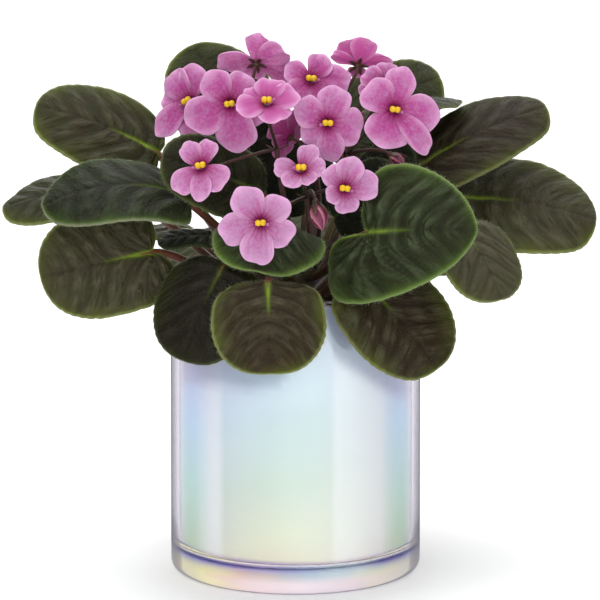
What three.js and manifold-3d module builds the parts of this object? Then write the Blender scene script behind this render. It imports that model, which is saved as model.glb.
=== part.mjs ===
// An African violet in flower, growing in a thin plastic pot that stands in a pearly glass pot.
// Units are millimetres, +Z is up and the origin is the centre of the glass pot's flat base.
// Seen from the front, +X is to the right and +Y points away.
import * as THREE from 'three';
import { mergeVertices } from 'three/addons/utils/BufferGeometryUtils.js';
import Module from 'manifold-3d';

const wasm = await Module();
wasm.setup();

// Driving dimensions
const gap = 0.3;
const potDiameter = 110;
const potHeight = 132;
const potWall = 3.5;
const potFloor = 11;
const potHeel = 4;
const potFillet = 5;
const growDiameter = 100;
const growBaseDiameter = 76;
const growHeight = 100;
const growWall = 1.2;
const growRimStep = 1.5;
const growRimDepth = 8;
const drainRadius = 4;
const drainCount = 4;
const soilBelowRim = 6;
const soilHeap = 3;
const soilCrumb = 2.4;
const crownRadius = 9;
const crownTop = 144;
const crownDepth = 9;
const bladeThickness = 1.3;
const bladeRows = 12;
const scallopDepth = 0.9;
const quiltRise = 0.55;
const petioleRadius = 1.8;
const petioleSlope = 18;
const petioleBelowBlade = 1.6;
const petioleBelowMidrib = 1.9;
const peduncleRadius = 1.2;
const peduncleSlope = 60;
const pedicelRadius = 0.8;
const petalThickness = 0.8;
const throatRadius = 1.7;
const throatDepth = 1.2;
const antherRadius = 1.9;
const antherSpread = 1.15;
const sepalCount = 5;
const sepalLength = 5.5;
const sepalNotch = 1.3;
const sepalThickness = 0.8;
const calyxBehindBloom = 1.9;
const calyxBehindBud = 0.3;
const weldDistance = 1e-4;

// Finishes
const finishes = {
  glass: { color: 0xd5dcf2, roughness: 0.08, metalness: 0.1 },
  plastic: { color: 0x2f4a3a, roughness: 0.6, metalness: 0 },
  soil: { color: 0x3a2a20, roughness: 1, metalness: 0 },
  stem: { color: 0x5d6b32, roughness: 0.7, metalness: 0 },
  stalk: { color: 0x7a3f38, roughness: 0.6, metalness: 0 },
  darkLeaf: { color: 0x3f4129, roughness: 0.75, metalness: 0 },
  freshLeaf: { color: 0x46583a, roughness: 0.7, metalness: 0 },
  petal: { color: 0xcb72b4, roughness: 0.6, metalness: 0 },
  bud: { color: 0xb0458f, roughness: 0.6, metalness: 0 },
  anther: { color: 0xe6bf1e, roughness: 0.6, metalness: 0 },
};

// Grown leaves: where the blade joins its stalk, where its tip is, how wide it is and which way its
// face looks. bend is the arc of the midrib in degrees, cup lifts the edges (or drops them, below 0),
// lobe is how far the rounded ends reach back past the stalk, as a share of the length, one number or
// one for each side. swing, where given, makes a heart-shaped blade that is widest near its stalk.
// turn and root are the angle and the height at which the stalk leaves the crown, and steep is the
// angle at which it starts to rise.
const leaves = [
  { name: 'leaf_left_high', base: [-60, 8, 185], tip: [-114, 8, 206], width: 46,
    faces: [0, -0.6, 0.8], bend: 30, cup: -0.1, lobe: 0.1, turn: 186, root: 131 },
  { name: 'leaf_left_far', base: [-75, 10, 166], tip: [-129, 10, 159.5], width: 46,
    faces: [0, -0.25, 1], bend: 35, cup: -0.1, lobe: 0.14, turn: 172, root: 121 },
  { name: 'leaf_left_arched', base: [-48, -31, 174], tip: [-110, -44, 172], width: 45,
    faces: [0, -0.45, 0.9], bend: 65, cup: -0.12, lobe: 0.12, turn: 214, root: 134, steep: 30,
    fresh: true },
  { name: 'leaf_left_low', base: [-63, -36, 150], tip: [-111, -44, 141], width: 48,
    faces: [0, -0.95, 0.3], bend: 35, cup: -0.1, lobe: [0.2, 0.36], turn: 204, root: 119 },
  { name: 'leaf_front_left', base: [-31, -47, 147], tip: [-49, -63, 108], width: 46,
    faces: [-0.4, -0.9, 0.2], bend: 30, cup: -0.1, lobe: 0.12, turn: 235, root: 120 },
  { name: 'leaf_front_middle', base: [-12, -63, 143], tip: [-11, -92, 109], width: 50,
    faces: [0, -0.7, 0.7], bend: 35, cup: -0.12, lobe: 0.12, turn: 264, root: 120 },
  { name: 'leaf_front_top', base: [-7, -28, 161], tip: [-17, -60, 147], width: 50,
    faces: [0, -0.45, 0.9], bend: 55, cup: -0.12, lobe: 0.06, turn: 262, root: 131, fresh: true },
  { name: 'leaf_right_front', base: [31.5, -61, 164.5], tip: [78.5, -75, 168.5], width: 61,
    faces: [0.1, -0.9, 0.4], bend: 35, cup: -0.1, lobe: [0.66, 0.26], swing: [0.56, 0.8],
    turn: 304, root: 132, fresh: true },
  { name: 'leaf_right_low', base: [70, -39, 164], tip: [89, -59, 134], width: 44,
    faces: [0.5, -0.6, 0.6], bend: 35, cup: -0.1, lobe: 0.12, turn: 326, root: 120 },
  { name: 'leaf_right', base: [70, -4, 167], tip: [132, -4, 157], width: 53,
    faces: [0, -0.6, 0.8], bend: 35, cup: -0.1, lobe: 0.12, turn: 355, root: 121 },
  { name: 'leaf_right_high', base: [53, -1, 180], tip: [110, 6, 206], width: 47,
    faces: [0, -0.4, 0.9], bend: 25, cup: -0.1, lobe: 0.2, turn: 4, root: 132 },
  { name: 'leaf_front_right', base: [28, -51, 142], tip: [62, -69, 106], width: 46,
    faces: [0.3, -0.9, 0.3], bend: 30, cup: -0.1, lobe: 0.12, turn: 295, root: 120 },
  { name: 'leaf_back_left_high', base: [-16, 26, 174], tip: [-46, 54, 224], width: 50,
    faces: [0, -0.6, 0.8], bend: 20, cup: -0.1, lobe: 0.12, turn: 118, root: 132 },
  { name: 'leaf_back_right_high', base: [14, 46, 184], tip: [64, 46, 211], width: 46,
    faces: [0, -0.6, 0.8], bend: 25, cup: -0.1, lobe: 0.12, turn: 66, root: 132 },
  { name: 'leaf_right_edge', base: [32, 16, 203], tip: [73, 14, 207], width: 38,
    faces: [0, 0.1, 1], bend: 20, cup: -0.1, lobe: 0.12, turn: 38, root: 131 },
  { name: 'leaf_inner_left', base: [-14, -24, 173], tip: [-58, -36, 192], width: 36,
    faces: [0, -0.8, 0.6], bend: 25, cup: -0.1, lobe: 0.1, turn: 238, root: 138, steep: 70 },
  { name: 'leaf_back_left_low', base: [-54, 28, 147], tip: [-98, 48, 128], width: 46,
    faces: [-0.3, 0.2, 0.93], bend: 40, cup: -0.1, lobe: 0.14, turn: 148, root: 120 },
  { name: 'leaf_back_left', base: [-28, 53, 143], tip: [-50, 88, 114], width: 45,
    faces: [-0.3, 0.5, 0.8], bend: 35, cup: -0.1, lobe: 0.14, turn: 118, root: 120 },
  { name: 'leaf_back', base: [6, 58, 149], tip: [9, 102, 124], width: 46,
    faces: [0, 0.5, 0.85], bend: 35, cup: -0.1, lobe: 0.14, turn: 86, root: 120 },
  { name: 'leaf_back_right', base: [40, 46, 143], tip: [70, 78, 114], width: 45,
    faces: [0.3, 0.5, 0.8], bend: 35, cup: -0.1, lobe: 0.14, turn: 54, root: 120 },
  { name: 'leaf_right_back_low', base: [60, 24, 148], tip: [104, 46, 139], width: 46,
    faces: [0.3, 0.2, 0.93], bend: 40, cup: -0.1, lobe: 0.14, turn: 24, root: 120 },
];

// Young leaves, fused to the crown that they grow from
const youngLeaves = [
  { base: [-37, -31, 156], tip: [-60, -33, 154], width: 20,
    faces: [0, -0.2, 1], bend: 30, cup: -0.1, lobe: 0.14, turn: 222, root: 127 },
  { base: [17, -19, 162], tip: [44, -27, 184], width: 32,
    faces: [0, -0.7, 0.7], bend: 20, cup: -0.1, lobe: 0.14, turn: 322, root: 137, steep: 50 },
  { base: [4, 11, 157], tip: [6, 25, 186], width: 25,
    faces: [0, -0.8, 0.5], bend: 20, cup: -0.1, lobe: 0.14, turn: 80, root: 138, steep: 50 },
  { base: [-12, 8, 158], tip: [-20, 18, 206], width: 38,
    faces: [0.1, -0.95, 0.3], bend: 20, cup: -0.1, lobe: 0.14, turn: 150, root: 138, steep: 60 },
  { base: [27, -9, 170], tip: [50, -8, 192], width: 24,
    faces: [0, -0.8, 0.55], bend: 20, cup: -0.1, lobe: 0.14, turn: 335, root: 140, steep: 60 },
];

// Flowers: the middle of the throat, the way the flower looks, its radius and its turn about that axis
const blooms = [
  { at: [-47, -8, 211.5], faces: [-0.5, -0.75, 0.25], radius: 16, spin: 20, stalk: 0 },
  { at: [-28.5, -25, 214], faces: [-0.15, -0.95, 0.1], radius: 18, spin: 0, stalk: 0 },
  { at: [-16.5, 0, 228], faces: [0.2, 0.8, 0.5], radius: 14.5, spin: 10, stalk: 0 },
  { at: [-12.4, -42, 218], faces: [0, -0.5, 0.86], radius: 15, spin: 20, stalk: 1 },
  { at: [-41, -46, 190.6], faces: [-0.2, -0.85, 0.45], radius: 15, spin: 0, stalk: 1 },
  { at: [6.8, -12, 222], faces: [0.1, -0.8, 0.5], radius: 15, spin: 0, stalk: 2 },
  { at: [27.3, 5, 226], faces: [0, 0.9, 0.4], radius: 13, spin: 0, stalk: 2 },
  { at: [-4, -10, 197], faces: [-0.6, 0.5, 0.3], radius: 14, spin: 0, stalk: 2 },
  { at: [14, -38, 208], faces: [0.05, -0.97, 0.2], radius: 16.5, spin: -50, stalk: 3 },
  { at: [43, -38, 214], faces: [0.15, -0.95, 0.2], radius: 20, spin: 25, stalk: 3 },
  { at: [38, -19, 220.5], faces: [-0.1, -0.8, 0.5], radius: 12, spin: 20, stalk: 3 },
  { at: [-15.5, -66, 170], faces: [-0.1, -0.97, 0.1], radius: 19, spin: 66, stalk: 4 },
  { at: [2.4, -54, 191], faces: [0, -0.7, 0.7], radius: 12.5, spin: 30, stalk: 4 },
  { at: [22.8, -56, 183], faces: [0.3, -0.9, 0.2], radius: 13, spin: -40, stalk: 4 },
];

const buds = [
  { at: [9, -56.5, 176], faces: [0.2, -0.6, -0.75], radius: 4.2, length: 13, stalk: 4 },
  { at: [42, -27, 191], faces: [0.4, -0.7, -0.2], radius: 3.2, length: 10, stalk: 3 },
];

// Flower stalks: the angle and the height at which each one leaves the crown, and where it forks
const stalks = [
  { turn: 165, root: 136, fork: [-24, -4, 190] },
  { turn: 268, root: 138, fork: [-8, -22, 194] },
  { turn: 45, root: 137, fork: [8, -2, 192] },
  { turn: 5, root: 138, fork: [22, -8, 188] },
  { turn: 296, root: 136, fork: [5, -19, 172] },
];

// The petals of a flower, and the points across each one from the notch before it
const petals = [
  { turn: 60, reach: 0.88, lift: 1.6 },
  { turn: 120, reach: 0.88, lift: -0.4 },
  { turn: 192, reach: 1, lift: 1.4 },
  { turn: 270, reach: 1.05, lift: -0.6 },
  { turn: 348, reach: 1, lift: 1 },
];
const petalSpokes = [
  { share: -1, reach: 0.62, crest: 0 },
  { share: -0.5, reach: 0.97, crest: 0.8 },
  { share: 0, reach: 1.02, crest: 1 },
  { share: 0.5, reach: 0.97, crest: 0.8 },
];

const vector = (list) => new THREE.Vector3(list[0], list[1], list[2]);
const radians = THREE.MathUtils.degToRad;

// A closed mesh as a solid that can be joined and cut
function toSolid(geometry) {
  const bare = geometry.index ? geometry.clone() : geometry;
  bare.deleteAttribute('normal');
  bare.deleteAttribute('uv');
  const merged = mergeVertices(bare, weldDistance);
  const corners = merged.index.array;
  const kept = [];
  for (let i = 0; i < corners.length; i += 3) {
    const [a, b, c] = [corners[i], corners[i + 1], corners[i + 2]];
    if (a !== b && b !== c && c !== a) kept.push(a, b, c);
  }
  return new wasm.Manifold(new wasm.Mesh({
    numProp: 3,
    vertProperties: new Float32Array(merged.attributes.position.array),
    triVerts: new Uint32Array(kept),
  }));
}

function toGeometry(solid) {
  const mesh = solid.getMesh();
  const geometry = new THREE.BufferGeometry();
  geometry.setAttribute('position', new THREE.BufferAttribute(mesh.vertProperties, 3));
  geometry.setIndex(new THREE.BufferAttribute(mesh.triVerts, 1));
  geometry.computeVertexNormals();
  return geometry;
}

function joinAll(solids) {
  return solids.reduce((whole, next) => whole.add(next));
}

// A sheet of points in rows becomes a closed plate with the same triangles on both faces
function plateGeometry(rows, thickness, wraps = false) {
  const points = [];
  const known = new Map();
  const numbered = rows.map((row) => row.map((point) => {
    const key = `${point.x.toFixed(4)} ${point.y.toFixed(4)} ${point.z.toFixed(4)}`;
    if (!known.has(key)) {
      known.set(key, points.length);
      points.push(point);
    }
    return known.get(key);
  }));
  const triangles = [];
  const addTriangle = (a, b, c) => {
    if (a !== b && b !== c && c !== a) triangles.push([a, b, c]);
  };
  for (let i = 0; i + 1 < numbered.length; i += 1) {
    const count = numbered[i].length;
    for (let j = 0; j < (wraps ? count : count - 1); j += 1) {
      const k = (j + 1) % count;
      addTriangle(numbered[i][j], numbered[i + 1][j], numbered[i + 1][k]);
      addTriangle(numbered[i][j], numbered[i + 1][k], numbered[i][k]);
    }
  }
  const normals = points.map(() => new THREE.Vector3());
  const face = new THREE.Triangle();
  const out = new THREE.Vector3();
  for (const [a, b, c] of triangles) {
    face.set(points[a], points[b], points[c]).getNormal(out);
    const area = face.getArea();
    for (const corner of [a, b, c]) normals[corner].addScaledVector(out, area);
  }
  const half = thickness / 2;
  const top = points.map((point, n) => point.clone().addScaledVector(normals[n].normalize(), half));
  const bottom = points.map((point, n) => point.clone().addScaledVector(normals[n], -half));
  const index = [];
  const below = points.length;
  const edges = new Set(triangles.flatMap(([a, b, c]) => [`${a} ${b}`, `${b} ${c}`, `${c} ${a}`]));
  for (const [a, b, c] of triangles) {
    index.push(a, b, c, below + a, below + c, below + b);
    for (const [from, to] of [[a, b], [b, c], [c, a]]) {
      if (!edges.has(`${to} ${from}`)) {
        index.push(to, from, below + from, to, below + from, below + to);
      }
    }
  }
  const geometry = new THREE.BufferGeometry().setFromPoints([...top, ...bottom]);
  geometry.setIndex(index);
  return geometry;
}

// A round stem along a smooth curve through the points
function tubeGeometry(points, radius, sides, steps) {
  const outline = new THREE.Shape();
  for (let n = 0; n < sides; n += 1) {
    const angle = (n / sides) * 2 * Math.PI;
    const [x, y] = [radius * Math.cos(angle), radius * Math.sin(angle)];
    if (n === 0) outline.moveTo(x, y);
    else outline.lineTo(x, y);
  }
  const extrudePath = new THREE.CatmullRomCurve3(points, false, 'centripetal');
  return new THREE.ExtrudeGeometry(outline, { extrudePath, steps });
}

// The blade's own frame: along its chord, across it and out of its face, with the arc of the midrib
function bladeFrame(leaf) {
  const base = vector(leaf.base);
  const chord = vector(leaf.tip).sub(base);
  const along = chord.clone().normalize();
  const face = vector(leaf.faces);
  face.addScaledVector(along, -face.dot(along)).normalize();
  const across = new THREE.Vector3().crossVectors(face, along);
  const bend = radians(leaf.bend);
  const length = (chord.length() * bend) / (2 * Math.sin(bend / 2));
  return { base, along, face, across, bend, length };
}

// A point at a length x along the midrib, y across it and lift out of the face
function onBlade(frame, x, y, lift) {
  const start = frame.bend / 2;
  const radius = frame.length / frame.bend;
  const slope = start - x / radius;
  const forward = radius * (Math.sin(start) - Math.sin(slope)) - Math.sin(slope) * lift;
  const rise = radius * (Math.cos(slope) - Math.cos(start)) + Math.cos(slope) * lift;
  return frame.base.clone()
    .addScaledVector(frame.along, forward)
    .addScaledVector(frame.face, rise)
    .addScaledVector(frame.across, y);
}

// The outline runs from the notch at the stalk (s = 0) round one side to the tip (s = 1)
function bladeOutline(leaf, length, s, side) {
  const lobe = Array.isArray(leaf.lobe) ? leaf.lobe[side] : leaf.lobe;
  const turned = leaf.swing ? s ** leaf.swing[side] : Math.min(1, 2 * s);
  const back = lobe * Math.sin(Math.PI * turned);
  const roundness = 0.75 + 2.2 * Math.min(lobe, 0.5) * Math.max(0, 1 - 2 * s);
  return {
    x: length * ((1 - Math.cos(Math.PI * s)) / 2 - back),
    y: (leaf.width / 2) * Math.sin(Math.PI * s ** 0.95) ** roundness,
    vein: length * s ** 1.35,
  };
}

// Side veins run in slanting rows, each to a notch of the scalloped edge, with the blade raised between
function bladeGeometry(leaf, frame, rowCount, columns) {
  const rows = [];
  for (let i = 0; i <= rowCount; i += 1) {
    const end = i === 0 || i === rowCount;
    const onVein = i % 2 === 1;
    const row = [];
    for (let j = -columns; j <= columns; j += 1) {
      const v = j / columns;
      const edge = bladeOutline(leaf, frame.length, i / rowCount, v < 0 ? 0 : 1);
      const reach = Math.hypot(edge.x - edge.vein, edge.y);
      const share = onVein && !end ? 1 - scallopDepth / reach : 1;
      const x = edge.vein + (edge.x - edge.vein) * Math.abs(v) * share;
      const y = end ? 0 : edge.y * share * v;
      const relief = end || j === 0 ? -quiltRise / 2 : (onVein ? -quiltRise : quiltRise) * 0.8;
      const droop = leaf.cup * leaf.width * 0.5 * v * v;
      row.push(onBlade(frame, x, y, relief + droop));
    }
    rows.push(row);
  }
  return plateGeometry(rows, bladeThickness);
}

// A leaf stalk leaves the crown nearly level, then rises to the blade and runs in under its midrib
function petiolePoints(leaf, frame) {
  const turn = radians(leaf.turn);
  const outward = new THREE.Vector3(Math.cos(turn), Math.sin(turn), 0);
  const slope = radians(leaf.steep ?? petioleSlope);
  const reach = crownRadius + gap * 2 + petioleRadius * Math.sin(slope);
  const start = outward.clone().multiplyScalar(reach).setZ(leaf.root);
  const end = onBlade(frame, 0, 0, -petioleBelowBlade);
  const span = start.distanceTo(end);
  const rise = outward.clone().multiplyScalar(Math.cos(slope)).setZ(Math.sin(slope));
  const lead = start.clone().addScaledVector(rise, span * 0.33);
  const before = onBlade(frame, -span * 0.25, 0, -petioleBelowBlade);
  const curve = new THREE.CubicBezierCurve3(start, lead, before, end);
  const points = curve.getPoints(5);
  points.push(onBlade(frame, frame.length * 0.2, 0, -petioleBelowMidrib));
  return points;
}

function leafSolid(leaf, rowCount, columns) {
  const frame = bladeFrame(leaf);
  const blade = toSolid(bladeGeometry(leaf, frame, rowCount, columns));
  const petiole = toSolid(tubeGeometry(petiolePoints(leaf, frame), petioleRadius, 6, 6));
  return blade.add(petiole);
}

// The flower's own frame: +Z looks out of the throat
function flowerPlace(flower) {
  const out = vector(flower.faces).normalize();
  const turn = new THREE.Quaternion().setFromUnitVectors(new THREE.Vector3(0, 0, 1), out);
  const spin = new THREE.Quaternion().setFromAxisAngle(
    new THREE.Vector3(0, 0, 1), radians(flower.spin ?? 0));
  return new THREE.Matrix4().compose(vector(flower.at), turn.multiply(spin), new THREE.Vector3(1, 1, 1));
}

// Five joined petals round a sunken throat: an upper pair close together and three larger ones below
function corollaGeometry(flower) {
  const rings = [0, throatRadius / flower.radius, 0.52, 1];
  const rows = rings.map((ring, level) => {
    const inThroat = level < 2;
    const throatHeight = -throatDepth * (1 - level / 2);
    const row = [];
    petals.forEach((petal, n) => {
      const before = petals[(n + petals.length - 1) % petals.length];
      const after = petals[(n + 1) % petals.length];
      const toBefore = ((petal.turn - before.turn + 360) % 360) / 2;
      const toAfter = ((after.turn - petal.turn + 360) % 360) / 2;
      petalSpokes.forEach(({ share, reach, crest }) => {
        const turn = petal.turn + share * (share < 0 ? toBefore : toAfter);
        const out = flower.radius * ring * (inThroat ? 1 : reach * petal.reach);
        const height = inThroat ? throatHeight : (crest * petal.lift + flower.radius * 0.1) * ring;
        const point = new THREE.Vector3(out, 0, height);
        row.push(point.applyAxisAngle(new THREE.Vector3(0, 0, 1), radians(turn)));
      });
    });
    return row;
  });
  return plateGeometry(rows, petalThickness, true).applyMatrix4(flowerPlace(flower));
}

// Two blunt anthers, grown together over the throat
function antherSolid(flower) {
  const lobes = [-1, 1].map((side) => {
    const lobe = new THREE.OctahedronGeometry(antherRadius, 0);
    lobe.rotateZ(Math.PI / 4);
    lobe.translate(side * antherSpread, 0, antherRadius - 0.1);
    return toSolid(lobe);
  });
  return joinAll(lobes).transform(flowerPlace(flower).elements);
}

// A closed flower: an egg of folded petals
function budGeometry(bud) {
  const profile = [];
  const steps = 6;
  for (let i = 0; i <= steps; i += 1) {
    const share = i / steps;
    const radius = bud.radius * Math.sin(Math.PI * share ** 0.8) ** 0.8;
    profile.push(new THREE.Vector2(i % steps === 0 ? 0 : radius, bud.length * share));
  }
  return new THREE.LatheGeometry(profile, 8).rotateX(Math.PI / 2).applyMatrix4(flowerPlace(bud));
}

// Five narrow sepals in a star round the end of the flower's stalk, behind the petals
function calyxGeometry(flower) {
  const level = flower.back - 0.5;
  const middle = new THREE.Vector3(0, 0, level);
  const star = [];
  for (let n = 0; n < sepalCount * 2; n += 1) {
    const onTip = n % 2 === 0;
    const angle = (n / sepalCount) * Math.PI;
    const reach = onTip ? sepalLength : sepalNotch;
    const height = onTip ? level - 0.9 : level;
    star.push(new THREE.Vector3(reach * Math.cos(angle), reach * Math.sin(angle), height));
  }
  const rows = [star.map(() => middle), star];
  return plateGeometry(rows, sepalThickness, true).applyMatrix4(flowerPlace(flower));
}

const flowers = [
  ...blooms.map((bloom) => ({ ...bloom, back: -calyxBehindBloom })),
  ...buds.map((bud) => ({ ...bud, back: -calyxBehindBud })),
];

// The main stalk rises from a leaf's foot to the fork, and a thinner one bends from there to each flower
function stalkSolid(stalk, number) {
  const turn = radians(stalk.turn);
  const lean = radians(peduncleSlope);
  const outward = new THREE.Vector3(Math.cos(turn), Math.sin(turn), 0);
  const reach = crownRadius + gap + peduncleRadius;
  const start = outward.clone().multiplyScalar(reach).setZ(stalk.root);
  const fork = vector(stalk.fork);
  const span = start.distanceTo(fork);
  const rise = outward.clone().multiplyScalar(Math.cos(lean)).setZ(Math.sin(lean));
  const lead = start.clone().addScaledVector(rise, span * 0.35);
  const below = fork.clone().add(new THREE.Vector3(0, 0, -span * 0.25));
  const main = new THREE.CubicBezierCurve3(start, lead, below, fork);
  const parts = [toSolid(tubeGeometry(main.getPoints(5), peduncleRadius, 6, 5))];
  for (const flower of flowers.filter((each) => each.stalk === number)) {
    const place = flowerPlace(flower);
    const neck = new THREE.Vector3(0, 0, flower.back - 0.6).applyMatrix4(place);
    const behind = new THREE.Vector3(0, 0, flower.back - 8).applyMatrix4(place);
    const foot = fork.clone().add(new THREE.Vector3(0, 0, -1));
    const above = fork.clone().lerp(behind, 0.4).add(new THREE.Vector3(0, 0, 1.5));
    const bend = new THREE.CubicBezierCurve3(foot, above, behind, neck);
    parts.push(toSolid(tubeGeometry(bend.getPoints(4), pedicelRadius, 4, 4)));
    parts.push(toSolid(calyxGeometry(flower)));
  }
  return joinAll(parts);
}

function latheSolid(profile, segments) {
  const points = profile.map(([radius, height]) => new THREE.Vector2(radius, height));
  return toSolid(new THREE.LatheGeometry(points, segments).rotateX(Math.PI / 2));
}

// An arc in a lathe profile, from one angle to another about a centre
function arc(centre, radius, from, to, steps) {
  const points = [];
  for (let i = 0; i <= steps; i += 1) {
    const angle = radians(from + ((to - from) * i) / steps);
    points.push([centre[0] + radius * Math.cos(angle), centre[1] + radius * Math.sin(angle)]);
  }
  return points;
}

// The glass pot: a thick clear base, a round heel and a rounded rim
function glassPotSolid() {
  const outer = potDiameter / 2;
  const inner = outer - potWall;
  const lip = potWall / 2;
  return latheSolid([
    [0, 0],
    ...arc([outer - potHeel, potHeel], potHeel, -90, 0, 3),
    ...arc([outer - lip, potHeight - lip], lip, 0, 180, 4),
    ...arc([inner - potFillet, potFloor + potFillet], potFillet, 0, -90, 3),
    [0, potFloor],
  ], 36);
}

const growFoot = potFloor + gap;
const growRim = growFoot + growHeight;
const soilTop = growRim - soilBelowRim;

// Inner radius of the plastic pot at a height
function growInside(height) {
  const share = (height - growFoot) / growHeight;
  return THREE.MathUtils.lerp(growBaseDiameter / 2, growDiameter / 2 - growRimStep, share) - growWall;
}

// The plastic pot: tapered, with a stepped rim and drain holes in its floor
function growPotSolid() {
  const foot = growBaseDiameter / 2;
  const shoulder = growDiameter / 2 - growRimStep;
  const body = latheSolid([
    [0, growFoot],
    [foot, growFoot],
    [shoulder, growRim - growRimDepth],
    [growDiameter / 2, growRim - growRimDepth],
    [growDiameter / 2, growRim],
    [shoulder - growWall, growRim],
    [foot - growWall, growFoot + growWall],
    [0, growFoot + growWall],
  ], 32);
  const holes = [];
  for (let n = 0; n < drainCount; n += 1) {
    const hole = new THREE.CylinderGeometry(drainRadius, drainRadius, growWall * 4, 10);
    hole.rotateX(Math.PI / 2).translate(foot * 0.55, 0, growFoot);
    holes.push(toSolid(hole.rotateZ(((n + 0.5) / drainCount) * 2 * Math.PI)));
  }
  return body.subtract(joinAll(holes));
}

// Potting mix: it fills the plastic pot, with a lumpy top and a blind hole for the foot of the crown
function soilSolid() {
  const random = seeded(7);
  const floor = growFoot + growWall + gap;
  const hole = crownRadius + gap;
  const brim = growInside(soilTop);
  const profile = [
    [0, floor],
    [growInside(floor) - gap, floor],
    [brim - gap, soilTop],
    [brim * 0.8, soilTop + soilHeap * 0.5],
    [brim * 0.55, soilTop + soilHeap * 0.8],
    [brim * 0.32, soilTop + soilHeap],
    [hole, soilTop + soilHeap * 0.7],
    [hole, soilTop - crownDepth - gap],
    [0, soilTop - crownDepth - gap],
  ].map(([radius, height]) => new THREE.Vector2(radius, height));
  const geometry = new THREE.LatheGeometry(profile, 32).rotateX(Math.PI / 2);
  geometry.deleteAttribute('normal');
  geometry.deleteAttribute('uv');
  const merged = mergeVertices(geometry, weldDistance);
  const places = merged.attributes.position;
  for (let i = 0; i < places.count; i += 1) {
    const radius = Math.hypot(places.getX(i), places.getY(i));
    const onTop = places.getZ(i) > soilTop + 1 && radius > hole + 1;
    if (onTop) places.setZ(i, places.getZ(i) + (random() - 0.5) * soilCrumb);
  }
  return toSolid(merged);
}

// The same row of numbers from 0 to 1 in each build
function seeded(seed) {
  let state = seed;
  return () => {
    state = (state * 16807) % 2147483647;
    return state / 2147483647;
  };
}

// The crown: a short thick stem with its foot in the soil and young leaves at its top
function crownSolid() {
  const foot = soilTop - crownDepth;
  const trunk = latheSolid([
    [0, foot],
    [crownRadius - 1, foot],
    [crownRadius, foot + 5],
    [crownRadius, crownTop - 4],
    [crownRadius * 0.7, crownTop - 1],
    [0, crownTop],
  ], 16);
  return joinAll([trunk, ...youngLeaves.map((leaf) => youngLeafSolid(leaf))]);
}

// A young leaf, whose stalk starts inside the crown
function youngLeafSolid(leaf) {
  const frame = bladeFrame(leaf);
  const blade = toSolid(bladeGeometry(leaf, frame, 8, 1));
  const points = petiolePoints(leaf, frame);
  points[0].multiply(new THREE.Vector3(0.7, 0.7, 1));
  return blade.add(toSolid(tubeGeometry(points, petioleRadius * 0.8, 5, 5)));
}

const plant = new THREE.Group();

function addPiece(name, solid, finish) {
  const mesh = new THREE.Mesh(toGeometry(solid), new THREE.MeshStandardMaterial(finishes[finish]));
  mesh.name = name;
  plant.add(mesh);
}

const twoDigits = (number) => String(number + 1).padStart(2, '0');

addPiece('glass_pot', glassPotSolid(), 'glass');
addPiece('grow_pot', growPotSolid(), 'plastic');
addPiece('soil', soilSolid(), 'soil');
addPiece('crown', crownSolid(), 'stem');
for (const leaf of leaves) {
  addPiece(leaf.name, leafSolid(leaf, bladeRows, 2), leaf.fresh ? 'freshLeaf' : 'darkLeaf');
}
stalks.forEach((stalk, n) => addPiece(`flower_stalk_${n + 1}`, stalkSolid(stalk, n), 'stalk'));
blooms.forEach((bloom, n) => {
  addPiece(`bloom_${twoDigits(n)}_petals`, toSolid(corollaGeometry(bloom)), 'petal');
  addPiece(`bloom_${twoDigits(n)}_anthers`, antherSolid(bloom), 'anther');
});
buds.forEach((bud, n) => addPiece(`bud_${n + 1}`, toSolid(budGeometry(bud)), 'bud'));

export default plant;
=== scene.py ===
# An African violet in flower. It grows in a thin plastic pot that stands in a pearly glass pot.
# Blender units are metres, +Z is up, and the origin is the centre of the glass pot's flat base.
# The tables of places hold millimetres. Seen from the front, +X is to the right and +Y points away.
import math
import bpy
import numpy as np
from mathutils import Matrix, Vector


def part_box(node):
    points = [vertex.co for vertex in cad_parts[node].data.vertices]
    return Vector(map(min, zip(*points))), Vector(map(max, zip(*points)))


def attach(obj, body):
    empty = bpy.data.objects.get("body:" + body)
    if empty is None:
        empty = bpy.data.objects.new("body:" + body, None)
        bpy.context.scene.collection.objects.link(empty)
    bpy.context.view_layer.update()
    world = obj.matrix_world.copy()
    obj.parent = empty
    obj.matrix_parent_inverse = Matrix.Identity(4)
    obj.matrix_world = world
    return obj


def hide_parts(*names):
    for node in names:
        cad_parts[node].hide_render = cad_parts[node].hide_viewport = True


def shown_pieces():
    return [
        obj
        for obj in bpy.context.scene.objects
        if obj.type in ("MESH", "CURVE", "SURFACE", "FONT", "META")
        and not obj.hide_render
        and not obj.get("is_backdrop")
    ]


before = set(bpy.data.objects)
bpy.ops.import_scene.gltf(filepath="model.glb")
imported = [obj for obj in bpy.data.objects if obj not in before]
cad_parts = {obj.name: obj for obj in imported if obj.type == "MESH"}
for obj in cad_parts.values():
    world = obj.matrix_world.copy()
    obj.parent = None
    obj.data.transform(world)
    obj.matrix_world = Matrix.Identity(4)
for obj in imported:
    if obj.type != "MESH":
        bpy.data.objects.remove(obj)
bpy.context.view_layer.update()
mm = 0.001
print("frame loaded:", len(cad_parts), "nodes")


# Colours and nodes

def linear(hexText):  # an sRGB hex colour as the linear one that Blender's sockets take
    shares = [int(hexText[n:n + 2], 16) / 255 for n in (1, 3, 5)]
    return [c / 12.92 if c <= 0.04045 else ((c + 0.055) / 1.055) ** 2.4 for c in shares] + [1.0]


def perSize(millimetres):  # the Scale of a pattern whose features are this big
    return 1000 / millimetres


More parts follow.
